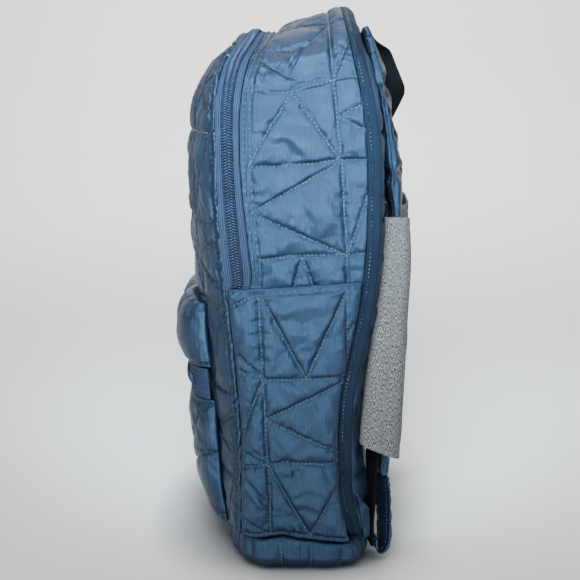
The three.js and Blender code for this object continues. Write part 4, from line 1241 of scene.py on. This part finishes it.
def make_bottom(rows_):
    n = 720
    aa = np.linspace(0, 2 * math.pi, 6000)
    x, y = tray_loop(np.cos(aa), np.sin(aa), 0)
    s = np.concatenate([[0], np.cumsum(np.hypot(np.diff(x), np.diff(y)))])
    per = s[-1]
    sw = np.linspace(0, per, n, endpoint=False)
    ang = np.interp(sw, s, aa)
    c, sn = np.cos(ang), np.sin(ang)
    x0, y0 = tray_loop(c, sn, 0)
    # channels where the photo has them on the near side, and every 22 mm elsewhere
    near = [-29.3, -6.4, 15.7, 40.0]
    marks = [float(np.interp(t, y0[(x0 > 130) & (np.abs(y0 - 8) < 45)][np.argsort(y0[(x0 > 130) & (np.abs(y0 - 8) < 45)])],
                             sw[(x0 > 130) & (np.abs(y0 - 8) < 45)][np.argsort(y0[(x0 > 130) & (np.abs(y0 - 8) < 45)])])) for t in near]
    marks = [m if m < per / 2 else m - per for m in marks]
    m = max(marks) + 22
    while m < min(marks) + per - 12:
        marks.append(m)
        m += 22.2
    marks = np.array(marks)
    dist = np.min(np.abs((sw[:, None] - marks[None, :] + per / 2) % per - per / 2), 1)
    lobe = 1 - np.exp(-(dist / 4.2))
    prof = [(70, 8.0), (40, 8.0), (15, 8.0), (9.4, 9.0), (8.0, 14.0), (8.0, 20.0), (8.6, 26.5), (7.0, 26.9), (3.0, 26.9), (1.8, 26.7)]
    outer = [(1.2, 26.2), (0.7, 25.2), (0.4, 24.0)] + [(0.2, z) for z in np.arange(22.6, 12.0, -1.5)] \
        + [(0.4, 11.0), (0.9, 9.0), (1.7, 7.0), (2.9, 5.2), (4.4, 3.7), (6.4, 2.4), (8.8, 1.4), (11.5, 0.7), (14.5, 0.35),
           (19, 0.2), (26, 0.12), (34, 0.1), (40, 0.1)]
    R = []
    cvs = []
    seamv = []
    for (i, z) in prof:
        i = min(i, 42)
        xx, yy = tray_loop(c, sn, i)
        drop = (foot_z(y0) - 27.5) * smooth(118, 136, np.abs(x0)) * np.clip((z - 6) / 20.0, 0, 1)
        R.append(np.stack([xx, yy + DY, z + drop], -1))
        cvs.append(60.0)
        seamv.append(np.zeros(n))
    arc = 0.0
    last = None
    for (i, z) in outer:
        if last is not None:
            arc += math.hypot(i - last[0], z - last[1])
        last = (i, z)
        w = math.exp(-((z - 15) / 13.0) ** 2) if z > 2 else 0.0
        w *= min(1.0, (26.9 - z) / 5.0)
        puff = (3.4 * lobe - 0.9) * w
        puff = puff + w * (0.5 * noise1(71, sw, 6.0) * (1 - np.exp(-dist / 3)) + 0.35 * noise1(72, sw + z * 0.3, 2.4) * (z > 18))
        crimp = 0.35 * noise2(73, np.full(n, z), sw, 3.2) * np.exp(-dist / 5.0) * w
        xx, yy = tray_loop(c, sn, i - puff - crimp)
        zz = z + (0.5 * w * lobe * (z < 10) * -1.0)
        drop = (foot_z(y0) - 27.5) * smooth(118, 136, np.abs(x0)) * np.clip((z - 6) / 20.0, 0, 1)
        R.append(np.stack([xx, yy + DY, np.maximum(0.0, zz + drop)], -1))
        cvs.append(arc)
        # painted shade along each channel seam, fainter at the floor, and a dark rim of painted shade where the bottom
        # meets the walls
        seamv.append(np.exp(-(dist / 1.3) ** 2) * (1.0 if z > 3 else 0.3) * 0.8 + (0.9 if z > 25.8 else 0.0))
    R = np.array(R)
    ob = loft("bottom_quilt", R, cu=sw[None, :], cv=np.array(cvs)[:, None], seam=np.clip(np.array(seamv), 0, 1))
    dress(ob, QUILT, "quilt_blue", "bottom_panel")
    for mk in marks:
        k = int(round((mk % per) / per * n)) % n
        line = R[len(prof) + 3:len(prof) + 18, k]
        cen = np.array([0.0, line[0][1], 0.0])
        nx, ny = tray_loop(c, sn, 0)
        t = np.array([nx[(k + 1) % n] - nx[k - 1], ny[(k + 1) % n] - ny[k - 1], 0.0])
        nn = np.array([t[1], -t[0], 0.0])
        nn /= np.linalg.norm(nn)
        if np.dot(nn[:2], [nx[k], ny[k]]) < 0:
            nn = -nn
        sew_path(rows_, line, np.repeat(nn[None], len(line), 0), lift=0.05)


# ------------------------------------------------------------------ front pocket
def catmull(rows_, m):
    r = np.asarray(rows_, float)
    out = []
    for k in range(m + 1):
        f = k / m * (len(r) - 1)
        i = min(len(r) - 2, int(f))
        t = f - i
        p0, p1, p2, p3 = r[max(0, i - 1)], r[i], r[i + 1], r[min(len(r) - 1, i + 2)]
        out.append(0.5 * (2 * p1 + (p2 - p0) * t + (2 * p0 - 5 * p1 + 4 * p2 - p3) * t * t + (3 * p1 - p0 - 3 * p2 + p3) * t ** 3))
    return np.array(out)


POCKET_TOP_FACE = [(192, 0), (197, 6), (193, 12.5), (183, 17.5), (170, 19.5), (157, 18), (146.6, 16.2)]
POCKET_LOW_FACE = [(121.4, 15.4), (100, 17), (78, 17.6), (60, 16.6), (46, 14.4), (34, 12), (27, 8), (24, 3), (24.5, 0)]


def across_at(x):
    return np.sqrt(np.maximum(0, 1 - np.minimum(1, np.abs(x) / 97.0) ** 8.0))


def pocket_xyz(x, z, off):
    return np.stack([x, front_face(z, x) - 0.8 - np.maximum(0, off) * across_at(x) + DY, z + 0 * x], -1)


def make_pocket_piece(name, table, node, height, segs_fn, seed, folds=()):
    path_ = catmull(table, 200)
    s = np.concatenate([[0], np.cumsum(np.hypot(np.diff(path_[:, 0]), np.diff(path_[:, 1])))])
    nv = int(s[-1] / 2.5) + 1
    nu = 87
    t = np.linspace(-1, 1, nu)
    u = np.sign(t) * (1 - (1 - np.abs(t)) ** 1.45)
    X, S = np.meshgrid(u * 96.9, np.linspace(0, s[-1], nv))

    def point(x, sv):
        return pocket_xyz(x, np.interp(sv, s, path_[:, 0]), np.interp(sv, s, path_[:, 1]))
    segs = segs_fn(s[-1], lambda z: float(np.interp(-z, -path_[20:, 0], s[20:])))
    ob = quilted(name, X, S, point, segs, height, 4.0, seed=seed, step=2.4, k=4, folds=folds)
    dress(ob, QUILT, "quilt_blue", node)
    return ob, segs


def top_segs(total, s_at):
    segs = polyline(*[(float(x), total - 3.2) for x in np.linspace(-96, 96, 20)])
    segs += [((-64.0, 8.0), (-32.0, total - 3.2)), ((-32.0, total - 3.2), (0.0, 10.0)), ((0.0, 10.0), (32.0, total - 3.2)),
             ((32.0, total - 3.2), (64.0, 8.0)), ((80.0, 6.0), (88.0, 24.0))]
    return segs


def low_segs(total, s_at):
    segs = polyline(*[(float(x), 3.2) for x in np.linspace(-96, 96, 20)])
    s80 = s_at(80.0)
    segs += polyline((-96.0, s80), (-32.0, s80), (32.0, s80), (96.0, s80))
    for x0 in (-96.0, -32.0, 32.0):
        segs += [((x0, 3.2), (x0 + 32.0, s80)), ((x0 + 32.0, s80), (x0 + 64.0, 3.2))]
        segs += [((x0 + 64.0, s80), (x0, s80 + 26.0)), ((x0, s80 + 26.0), (x0 + 64.0, s80 + 50.0))]
    for x in (-32.0, 32.0):
        segs += [((x, 3.2), (x, total - 12))]
    return segs


def make_pocket_zip(rows_):
    nx = 97
    xs = np.linspace(-96, 96, nx)
    zs = np.linspace(121.9, 146.1, 33)
    d = zs - 134.05
    rise = 0.5 * np.exp(-((np.abs(d) - 5.6) / 0.6) ** 2) + 0.3 * np.exp(-((np.abs(d) - 8.0) / 0.5) ** 2) \
        + 0.22 * np.sin(d * 2 * math.pi / 1.6) * (np.abs(d) > 5)
    A = 14.6 + rise
    up = np.stack([pocket_xyz(xs, np.full(nx, z), np.full(nx, a)) for z, a in zip(zs, A)], 1)
    dn = np.stack([pocket_xyz(xs, np.full(nx, z), np.full(nx, 13.0)) for z in zs[::-3]], 1)
    R = np.concatenate([up, dn], 1)
    dark = np.concatenate([np.exp(-((np.abs(d) - 4.8) / 0.5) ** 2), np.zeros(dn.shape[1])])
    ob = loft("pocket_zip_tape", R, seam=dark[None, :], cu=np.concatenate([d, np.zeros(dn.shape[1])])[None, :], cv=xs[:, None])
    dress(ob, TAPE_MAT, "zip_tape", "pocket_zipper_tape")

    def f(x, c, lift):
        z = 134.05 + c
        face = front_face(z, x)
        return np.stack([x, face - 0.8 - (14.8 + lift) * across_at(x) + DY, z], -1)
    ob = zip_teeth("pocket_zip_coil", f, np.arange(-83.5, 83.5, 2.05), half=3.9, high=1.7, radius=0.6)
    dress(ob, COIL_MAT, "zip_coil", "pocket_zipper_coil")


# ------------------------------------------------------------------ straps
FAR_OUT = 12.0
STRAP = [(401, 54, 57.0, 58, 6), (392, 55, 60.0, 59, 8), (379, 57, 63.0, 60, 10), (353, 62, 69.5, 60, 11),
         (313, 69, 76.0, 58, 11), (275, 75, 79.5, 53, 11), (230, 81, 80.8, 49, 10.5), (183, 87, 79.6, 46, 10),
         (136, 95, 77.4, 41, 9.5), (105, 101, 75.5, 34, 9), (84, 104, 73.0, 28, 8), (67, 106, 71.5, 26, 7)]
SLEEVE = [(260, 77, 80.0, 63, 22.5), (230, 81, 79.4, 62, 25), (195, 86, 76.8, 60, 27), (160, 91, 74.2, 59, 29),
          (125, 96, 71.0, 56, 31), (85, 101, 67.6, 52, 31.5)]
WEBBING = [(13, 108, 61.6, 6), (30, 108, 61.8, 7), (60, 106.5, 62.6, 12), (84, 103.5, 63.2, 18), (99, 100.5, 63.0, 18)]
TAIL = [(66.2, 107, 71.2, 16), (52, 108, 71.6, 22), (36, 109, 72.0, 22), (22, 109.5, 72.4, 20), (13, 110, 71.4, 16),
        (9.2, 110, 68.6, 12), (9.2, 110, 66.2, 10), (13.5, 110, 64.6, 8), (19, 110, 64.8, 7)]


def strap_rings(rows_, m, n, side, power, shrink=0.0, fixed=None, turn_col=None):
    r = catmull(rows_, m)
    z, x, y = r[:, 0], side * r[:, 1], r[:, 2].copy()
    out = 1.0 if side < 0 else 0.0
    y += out * FAR_OUT * smooth(395, 300, z * 1.0) * smooth(8, 60, z) if False else 0
    if out:
        t1 = np.clip((z - 395) / (300 - 395), 0, 1)
        t2 = np.clip((z - 8) / (60 - 8), 0, 1)
        y = y + FAR_OUT * (t1 * t1 * (3 - 2 * t1)) * (t2 * t2 * (3 - 2 * t2))
    P = np.stack([x, y, z], -1)
    al = np.gradient(P, axis=0)
    al /= np.linalg.norm(al, axis=-1, keepdims=True)
    turn = np.radians(side * r[:, turn_col]) if turn_col is not None else np.zeros(len(z))
    W = np.stack([np.cos(turn), np.sin(turn), 0 * turn], -1)
    W = W - al * np.sum(W * al, -1, keepdims=True)
    W /= np.linalg.norm(W, axis=-1, keepdims=True)
    Tn = np.cross(al, W)
    a = (np.arange(n) + 0.5) / n * 2 * math.pi
    k = 1 / (np.abs(np.cos(a)) ** power + np.abs(np.sin(a)) ** power) ** (1 / power)
    cu_, cv_ = np.cos(a) * k, np.sin(a) * k
    if fixed:
        wd, th = np.full(m + 1, fixed[0]), np.full(m + 1, fixed[1])
    else:
        wd, th = r[:, 3] - shrink, r[:, 4] - shrink
    R = P[:, None, :] + W[:, None, :] * (cu_[None, :, None] * wd[:, None, None] / 2) \
        + Tn[:, None, :] * (cv_[None, :, None] * th[:, None, None] / 2)
    nrm = W[:, None, :] * cu_[None, :, None] * 0.35 + Tn[:, None, :] * cv_[None, :, None]
    nrm /= np.linalg.norm(nrm, axis=-1, keepdims=True)
    return R, nrm, P, W, Tn, cu_, cv_, wd, z


def make_straps(rows_):
    for tag, side in (("right", 1), ("left", -1)):
        sd = 80 + (side < 0)
        # navy padded strap: creased satin, edge binding with a stitch row each side
        R, nrm, P, W, Tn, cu_, cv_, wd, z = strap_rings(STRAP, 170, 72, side, 3.2)
        m, n = R.shape[:2]
        s = np.concatenate([[0], np.cumsum(np.linalg.norm(np.diff(P, axis=0), axis=-1))])
        across = cu_[None, :] * wd[:, None] / 2
        Sg = np.repeat(s[:, None], n, 1)
        cre = noise2(sd, Sg * 1.0 + across * 0.55, across - Sg * 0.12, 11.0)
        cre = 1 - np.abs(cre) * 2.4
        sharp = np.clip(cre, 0, 1) ** 3
        soft = noise2(sd + 5, Sg, across, 24.0)
        fade = np.clip(np.minimum(s, s[-1] - s) / 12, 0, 1)[:, None]
        edge = np.exp(-((np.abs(across) - (wd[:, None] / 2 - 4.6)) / 0.9) ** 2)
        h = (-1.5 * sharp + 1.5 * soft) * fade - 0.7 * edge
        h += 0.35 * noise1(sd + 9, Sg, 2.4) * np.exp(-np.abs(np.abs(across) - (wd[:, None] / 2 - 4.6)) / 3.0)
        # big folds near the top where the strap turns over the seam
        for zc, dep, wid, sl in ((362, 3.2, 5.0, 0.35), (342, 2.0, 4.0, -0.3), (301, 2.4, 4.5, 0.45), (286, 1.8, 3.5, -0.35), (325, 1.2, 3.0, 0.2)):
            dd = (z[:, None] + sl * across * side) - zc
            h += (-dep * np.exp(-(dd / wid) ** 2) + 0.6 * dep * np.exp(-((dd - 1.8 * wid) / wid) ** 2))
        h = np.clip(h, -3.2, 2.2)
        inner = (nrm[..., 1] < -0.4) * smooth(268, 290, z)[:, None] * (1 - smooth(352, 372, z))[:, None]
        h = np.where(inner > 0, np.minimum(h, 0.4) + 2.0 * inner, h)
        lim = np.minimum(1.0, (wd[:, None] * 0 + 1))
        R = R + nrm * (h * lim)[..., None] + np.array([0, DY, 0])
        # painted shade in the edge grooves and along the sharp creases
        ob = loft(f"shoulder_strap_{tag}_pad", R, seam=np.clip(edge * 0.8 + sharp * 0.4, 0, 1), near=np.clip(sharp, 0, 1))
        dress(ob, NAVY, "strap_navy", f"shoulder_strap_{tag}")
        for sg in (1, -1):
            for face in (1, -1):
                k = int(np.argmin(np.abs(cu_ * sg - 0.82) + 10 * (cv_ * face < 0)))
                sew_path(rows_["dark"], R[2:-2, k], nrm[2:-2, k], radius=0.28, lift=0.1)
        # heather sleeve
        Ro, no_, Ps, Ws, Ts, cu2, cv2, wd2, z2 = strap_rings(SLEEVE, 72, 72, side, 3.0)
        Ri = strap_rings(SLEEVE, 72, 72, side, 3.0, shrink=4.0)[0]
        kk = (np.arange(73) / 72.0)[:, None] ** 4 * 0.30
        c = 67.6 + (FAR_OUT if side < 0 else 0)
        for Q in (Ro, Ri):
            Q[..., 2] -= kk * (Q[..., 1] - c)
        s2 = np.concatenate([[0], np.cumsum(np.linalg.norm(np.diff(Ps, axis=0), axis=-1))])
        g = np.repeat(s2[:, None], 72, 1)
        ang = np.repeat((np.arange(72) / 72.0 * 160)[None, :], 73, 0)
        soft = 0.9 * noise2(sd + 11, g, ang, 40.0) + 0.35 * noise2(sd + 12, g, ang, 13.0)
        hem = -0.5 * np.exp(-((g - 8) / 1.0) ** 2) - 0.5 * np.exp(-((g - (s2[-1] - 9)) / 1.0) ** 2)
        Ro = Ro + no_ * (soft + hem)[..., None]
        R = np.concatenate([Ro, Ri[::-1]], 0) + np.array([0, DY, 0])
        cvv = np.concatenate([s2, s2[::-1]])
        cuu = np.arange(72) / 72.0 * 160
        ob = loft(f"strap_sleeve_{tag}_knit", R, loop=True, cu=cuu[None, :], cv=cvv[:, None])
        dress(ob, HEATHER, "heather", f"strap_sleeve_{tag}")
        # black webbing
        Rw, nw, Pw, Ww, Tw, cw, cvw, wdw, zw = strap_rings(WEBBING, 60, 32, side, 6, fixed=(25, 2.2), turn_col=3)
        sw_ = np.concatenate([[0], np.cumsum(np.linalg.norm(np.diff(Pw, axis=0), axis=-1))])
        Rw = Rw + nw * (0.25 * noise2(sd + 20, np.repeat(sw_[:, None], 32, 1), np.repeat((cw * 12)[None, :], 61, 0), 6.0))[..., None]
        ob = loft(f"strap_webbing_{tag}_weave", Rw + np.array([0, DY, 0]), cu=(cw * 12.5)[None, :])
        dress(ob, BLACK, "webbing_black", f"strap_webbing_{tag}")
        # navy tail round the U, puckered by its two stitch rows
        Rt, nt, Pt, Wt, Tt, ct, cvt, wdt, zt = strap_rings(TAIL, 120, 40, side, 6, fixed=(25, 2.2), turn_col=3)
        st_ = np.concatenate([[0], np.cumsum(np.linalg.norm(np.diff(Pt, axis=0), axis=-1))])
        G = np.repeat(st_[:, None], 40, 1)
        ac = np.repeat((ct * 12.5)[None, :], 121, 0)
        wr = 0.45 * noise1(sd + 30, G + 0.6 * ac, 2.6) + 0.4 * noise2(sd + 31, G, ac, 6.0)
        wr -= 0.45 * np.exp(-((np.abs(ac) - 8.6) / 0.7) ** 2)
        Rt = Rt + nt * (wr * np.clip(np.minimum(st_, st_[-1] - st_) / 4, 0, 1)[:, None])[..., None] + np.array([0, DY, 0])
        # painted shade along the sunken stitch rows
        ob = loft(f"strap_tail_{tag}_fold", Rt, cu=(ct * 12.5)[None, :], seam=np.exp(-((np.abs(ac) - 8.6) / 0.8) ** 2) * 0.7)
        dress(ob, NAVY, "strap_navy", f"strap_tail_{tag}")
        for sg in (1, -1):
            for face in (1, -1):
                k = int(np.argmin(np.abs(ct * 12.5 * sg - 8.6) + 50 * (cvt * face < 0)))
                sew_path(rows_["dark"], Rt[2:-2, k], nt[2:-2, k], radius=0.28, lift=0.1)


def make_handle():
    half, width, thick, corner = 20.0, 21.0, 2.6, 16.0
    root, far = np.array([0, 61.9, 401.5]), np.array([0, 86.5, 342.5])
    flat, edge = np.array([1.0, 0, 0]), np.array([0, -0.43, -0.9])
    edge = edge / np.linalg.norm(edge)
    reach = np.linalg.norm(far - root)
    leg, bend, top = reach - corner, corner * math.pi / 2, 2 * (half - corner)
    total = 2 * leg + 2 * bend + top
    steps = 130
    pts, tw = [], []
    for k in range(steps + 1):
        d = k / steps * total
        mir = -1 if d > total / 2 else 1
        d = total - d if mir < 0 else d
        if d < leg:
            x, al = half, d
        elif d < leg + bend:
            a = (d - leg) / corner
            x, al = half - corner * (1 - math.cos(a)), leg + corner * math.sin(a)
        else:
            x, al = half - corner - (d - leg - bend), reach
        p = root + (far - root) * al / reach
        pts.append([mir * x, p[1], p[2]])
        f = np.clip((d / (leg + bend) - 0.02) / 0.38, 0, 1)
        tw.append(f * f * (3 - 2 * f))
    P = np.array(pts)
    t = np.gradient(P, axis=0)
    t /= np.linalg.norm(t, axis=-1, keepdims=True)
    sg = np.where(np.arange(steps + 1) > steps / 2, 1.0, -1.0)
    tw = np.array(tw)
    W = flat[None] * ((1 - tw) * sg)[:, None] + edge[None] * tw[:, None]
    W -= t * np.sum(W * t, -1, keepdims=True)
    W /= np.linalg.norm(W, axis=-1, keepdims=True)
    N = np.cross(t, W)
    a = (np.arange(36) + 0.5) / 36 * 2 * math.pi
    k = 1 / (np.abs(np.cos(a)) ** 6 + np.abs(np.sin(a)) ** 6) ** (1 / 6)
    cu_, cv_ = np.cos(a) * k, np.sin(a) * k
    s = np.concatenate([[0], np.cumsum(np.linalg.norm(np.diff(P, axis=0), axis=-1))])
    h = 0.25 * noise2(95, np.repeat(s[:, None], 36, 1), np.repeat((cu_ * 10)[None], steps + 1, 0), 5.0)
    nrm = W[:, None] * cu_[None, :, None] * 0.3 + N[:, None] * cv_[None, :, None]
    R = P[:, None] + W[:, None] * (cu_ * width / 2)[None, :, None] + N[:, None] * (cv_ * thick / 2)[None, :, None]
    R = R + nrm * h[..., None] + np.array([0, DY, 0])
    ob = loft("grab_handle_weave", R, cu=(cu_ * 10.5)[None, :], cv=s[:, None],
              seam=np.exp(-((np.abs(cu_ * 10.5) - 8.2) / 0.6) ** 2)[None, :] * 0.7)
    dress(ob, CHARCOAL, "webbing_charcoal", "grab_handle")


def make_tabs():
    for tag in ("right", "left"):
        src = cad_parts[f"webbing_tab_{tag}"]
        me = src.data.copy()
        bm = bmesh.new()
        bm.from_mesh(me)
        bmesh.ops.remove_doubles(bm, verts=bm.verts, dist=1e-6)
        bmesh.ops.dissolve_limit(bm, angle_limit=0.01, verts=bm.verts, edges=bm.edges)
        bmesh.ops.bevel(bm, geom=bm.edges[:], offset=0.0007, segments=2, affect="EDGES", profile=0.5)
        bmesh.ops.triangulate(bm, faces=bm.faces)
        bmesh.ops.subdivide_edges(bm, edges=[e for e in bm.edges if e.calc_length() > 0.004], cuts=3, use_grid_fill=True)
        bmesh.ops.triangulate(bm, faces=bm.faces)
        bmesh.ops.subdivide_edges(bm, edges=[e for e in bm.edges if e.calc_length() > 0.003], cuts=1, use_grid_fill=True)
        bm.normal_update()
        for v in bm.verts:
            c = v.co
            v.co = c + v.normal * 0.0004 * (math.sin(c.z * 900) * 0.5 + math.sin(c.z * 330 + c.x * 500))
        bm.to_mesh(me)
        bm.free()
        ob = bpy.data.objects.new(f"webbing_tab_{tag}_cloth", me)
        bpy.context.collection.objects.link(ob)
        me.polygons.foreach_set("use_smooth", np.ones(len(me.polygons), bool))
        c = coords(ob) / MM
        put_attr(ob, "cu", c[:, 1] * 1.3)
        put_attr(ob, "cv", c[:, 2])
        put_attr(ob, "seam", np.zeros(len(c)))
        put_attr(ob, "near", np.zeros(len(c)))
        dress(ob, SHADE, "shade_blue", f"webbing_tab_{tag}")


def repaint(node, mat):
    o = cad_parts[node]
    for i in range(max(1, len(o.data.materials))):
        if i < len(o.data.materials):
            o.data.materials[i] = mat
        else:
            o.data.materials.append(mat)


# ------------------------------------------------------------------ assembly
rows = {"light": [], "dark": []}
band, band_seg = make_band()
dress(band, QUILT, "quilt_blue", "side_band")
sew(rows["light"], Surface(band), band_seg, skip=lambda u, v: min(v, TOTAL - v) < 178)
front, front_seg = make_front()
dress(front, QUILT, "quilt_blue", "front_panel")
sew(rows["light"], Surface(front), front_seg, skip=lambda u, v: abs(u) < 84 and v < 188)
for tag, side in (("right", 1), ("left", -1)):
    pk, pk_seg = make_side_pocket(tag, side)
    dress(pk, QUILT, "quilt_blue", "side_pocket_" + tag)
    sew(rows["light"], Surface(pk), pk_seg)
back, back_seg = make_back()
sew(rows["light"], Surface(back), back_seg)
for args in (("front_pocket_top_puff", POCKET_TOP_FACE, "front_pocket_top", 3.6, top_segs, 31),
             ("front_pocket_lower_puff", POCKET_LOW_FACE, "front_pocket_lower", 3.6, low_segs, 33)):
    fp, fp_seg = make_pocket_piece(*args)
    sew(rows["light"], Surface(fp), fp_seg)
make_main_zip()
make_pocket_zip(rows["light"])
make_binding(rows["light"])
make_bottom(rows["light"])
make_straps(rows)
make_handle()
make_tabs()
for name, key, mat, slot_ in (("stitches_blue", "light", THREAD, "quilt_blue"), ("stitches_navy", "dark", THREAD_DARK, "strap_navy")):
    for part, at in enumerate(range(0, len(rows[key]), 5000)):
        sv, sf = stitch_mesh(rows[key][at:at + 5000])
        dress(link(f"{name}_{part + 1}", sv, sf), mat, slot_)
    print(name, len(rows[key]))
hv, hf = hole_mesh(HOLES)
hb = link("needle_hole_shade", hv, hf)
dress(hb, HOLE_SHADE, "quilt_blue")
for node, mat in (("main_zipper_slider", METAL), ("pocket_zipper_slider", METAL),
                  ("strap_adjuster_right", PLASTIC), ("strap_adjuster_left", PLASTIC)):
    repaint(node, mat)
tri = 0
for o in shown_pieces():
    if o.type == "MESH":
        t = sum(len(p.vertices) - 2 for p in o.data.polygons)
        tri += t
        if t > 60000:
            print("tris", o.name, t)
print("total tris", tri)


# ------------------------------------------------------------------ studio
def studio():
    n = 64
    verts, faces = [], []
    prof = [(2.4, 0.0), (-1.7, 0.0), (-2.1, 0.06), (-2.4, 0.22), (-2.58, 0.5), (-2.66, 0.9), (-2.7, 3.0)]
    for k, (x, z) in enumerate(prof):
        for y in (-2.8, 2.8):
            verts.append((x, y, z - 0.0006))
    for k in range(len(prof) - 1):
        faces.append((2 * k, 2 * k + 1, 2 * k + 3, 2 * k + 2))
    floor = link("studio_floor", verts, faces)
    m = floor.modifiers.new("sub", "SUBSURF")
    m.levels = m.render_levels = 3
    freeze(floor)
    g = Nodes("studio_pale")
    tc = g.new("ShaderNodeTexCoord").outputs["Object"]
    nz = g.noise(6.0, 2.0, 0.5, tc)
    # painted contact shadow: ambient occlusion darkens the floor near the bag
    ao = g.new("ShaderNodeAmbientOcclusion", samples=8)
    ao.inputs["Distance"].default_value = 0.06
    contact_shade = g.math("POWER", ao.outputs["AO"], 2.2)
    pale = g.mixcol(nz, srgb(232, 232, 232), srgb(238, 238, 238))
    shadowed_ground = g.mixcol(contact_shade, srgb(38, 40, 44), pale)
    g.link(shadowed_ground, g.b.inputs["Base Color"])
    # the floor glows with its own colour, painted light that brightens it, dimmed where the painted contact shadow lies
    g.link(shadowed_ground, g.b.inputs["Emission Color"])
    g.b.inputs["Emission Strength"].default_value = 0.42
    g.b.inputs["Roughness"].default_value = 0.85
    g.b.inputs["Specular IOR Level"].default_value = 0.15
    floor.data.materials.append(g.mat)
    w = bpy.data.worlds.new("world")
    SCENE.world = w
    w.use_nodes = True
    bg = next(nd for nd in w.node_tree.nodes if nd.type == "BACKGROUND")
    bg.inputs[0].default_value = (1.0, 0.98, 0.96, 1)
    bg.inputs[1].default_value = 0.22

    def area(name, at, to, size, power, color=(1, 1, 1), size_y=None):
        d = bpy.data.lights.new(name, "AREA")
        d.shape = "RECTANGLE"
        d.size, d.size_y = size, size_y or size
        d.energy = power
        d.color = color
        o = bpy.data.objects.new(name, d)
        bpy.context.collection.objects.link(o)
        o.location = at
        o.rotation_euler = (Vector(to) - Vector(at)).to_track_quat("-Z", "Y").to_euler()
        return o
    key = area("key", (0.60, -0.05, 0.62), (0.14, -0.01, 0.39), 0.28, 3.5, (0.70, 0.89, 1.0))
    key.data.spread = math.radians(47)
    area("fill_front", (0.3, -1.3, 0.5), (0.0, 0.0, 0.2), 0.9, 1.0, (0.97, 0.97, 1.0))
    area("fill_back", (0.25, 1.25, 0.6), (0.0, 0.0, 0.2), 0.8, 1.6, (0.97, 0.98, 1.0))
    area("overhead", (-0.95, 0.0, 1.55), (-0.45, 0.0, 0.0), 1.4, 12.0)
    low = area("fill_low", (0.85, -0.1, 0.16), (0.14, 0.0, 0.10), 0.4, 1.6, (1.0, 0.96, 0.94))
    low.data.spread = math.radians(60)
    wash = area("wall_wash", (-1.35, 0.0, 1.9), (-2.5, 0.0, 0.5), 1.8, 24.0)
    wash.data.spread = math.radians(95)


studio()
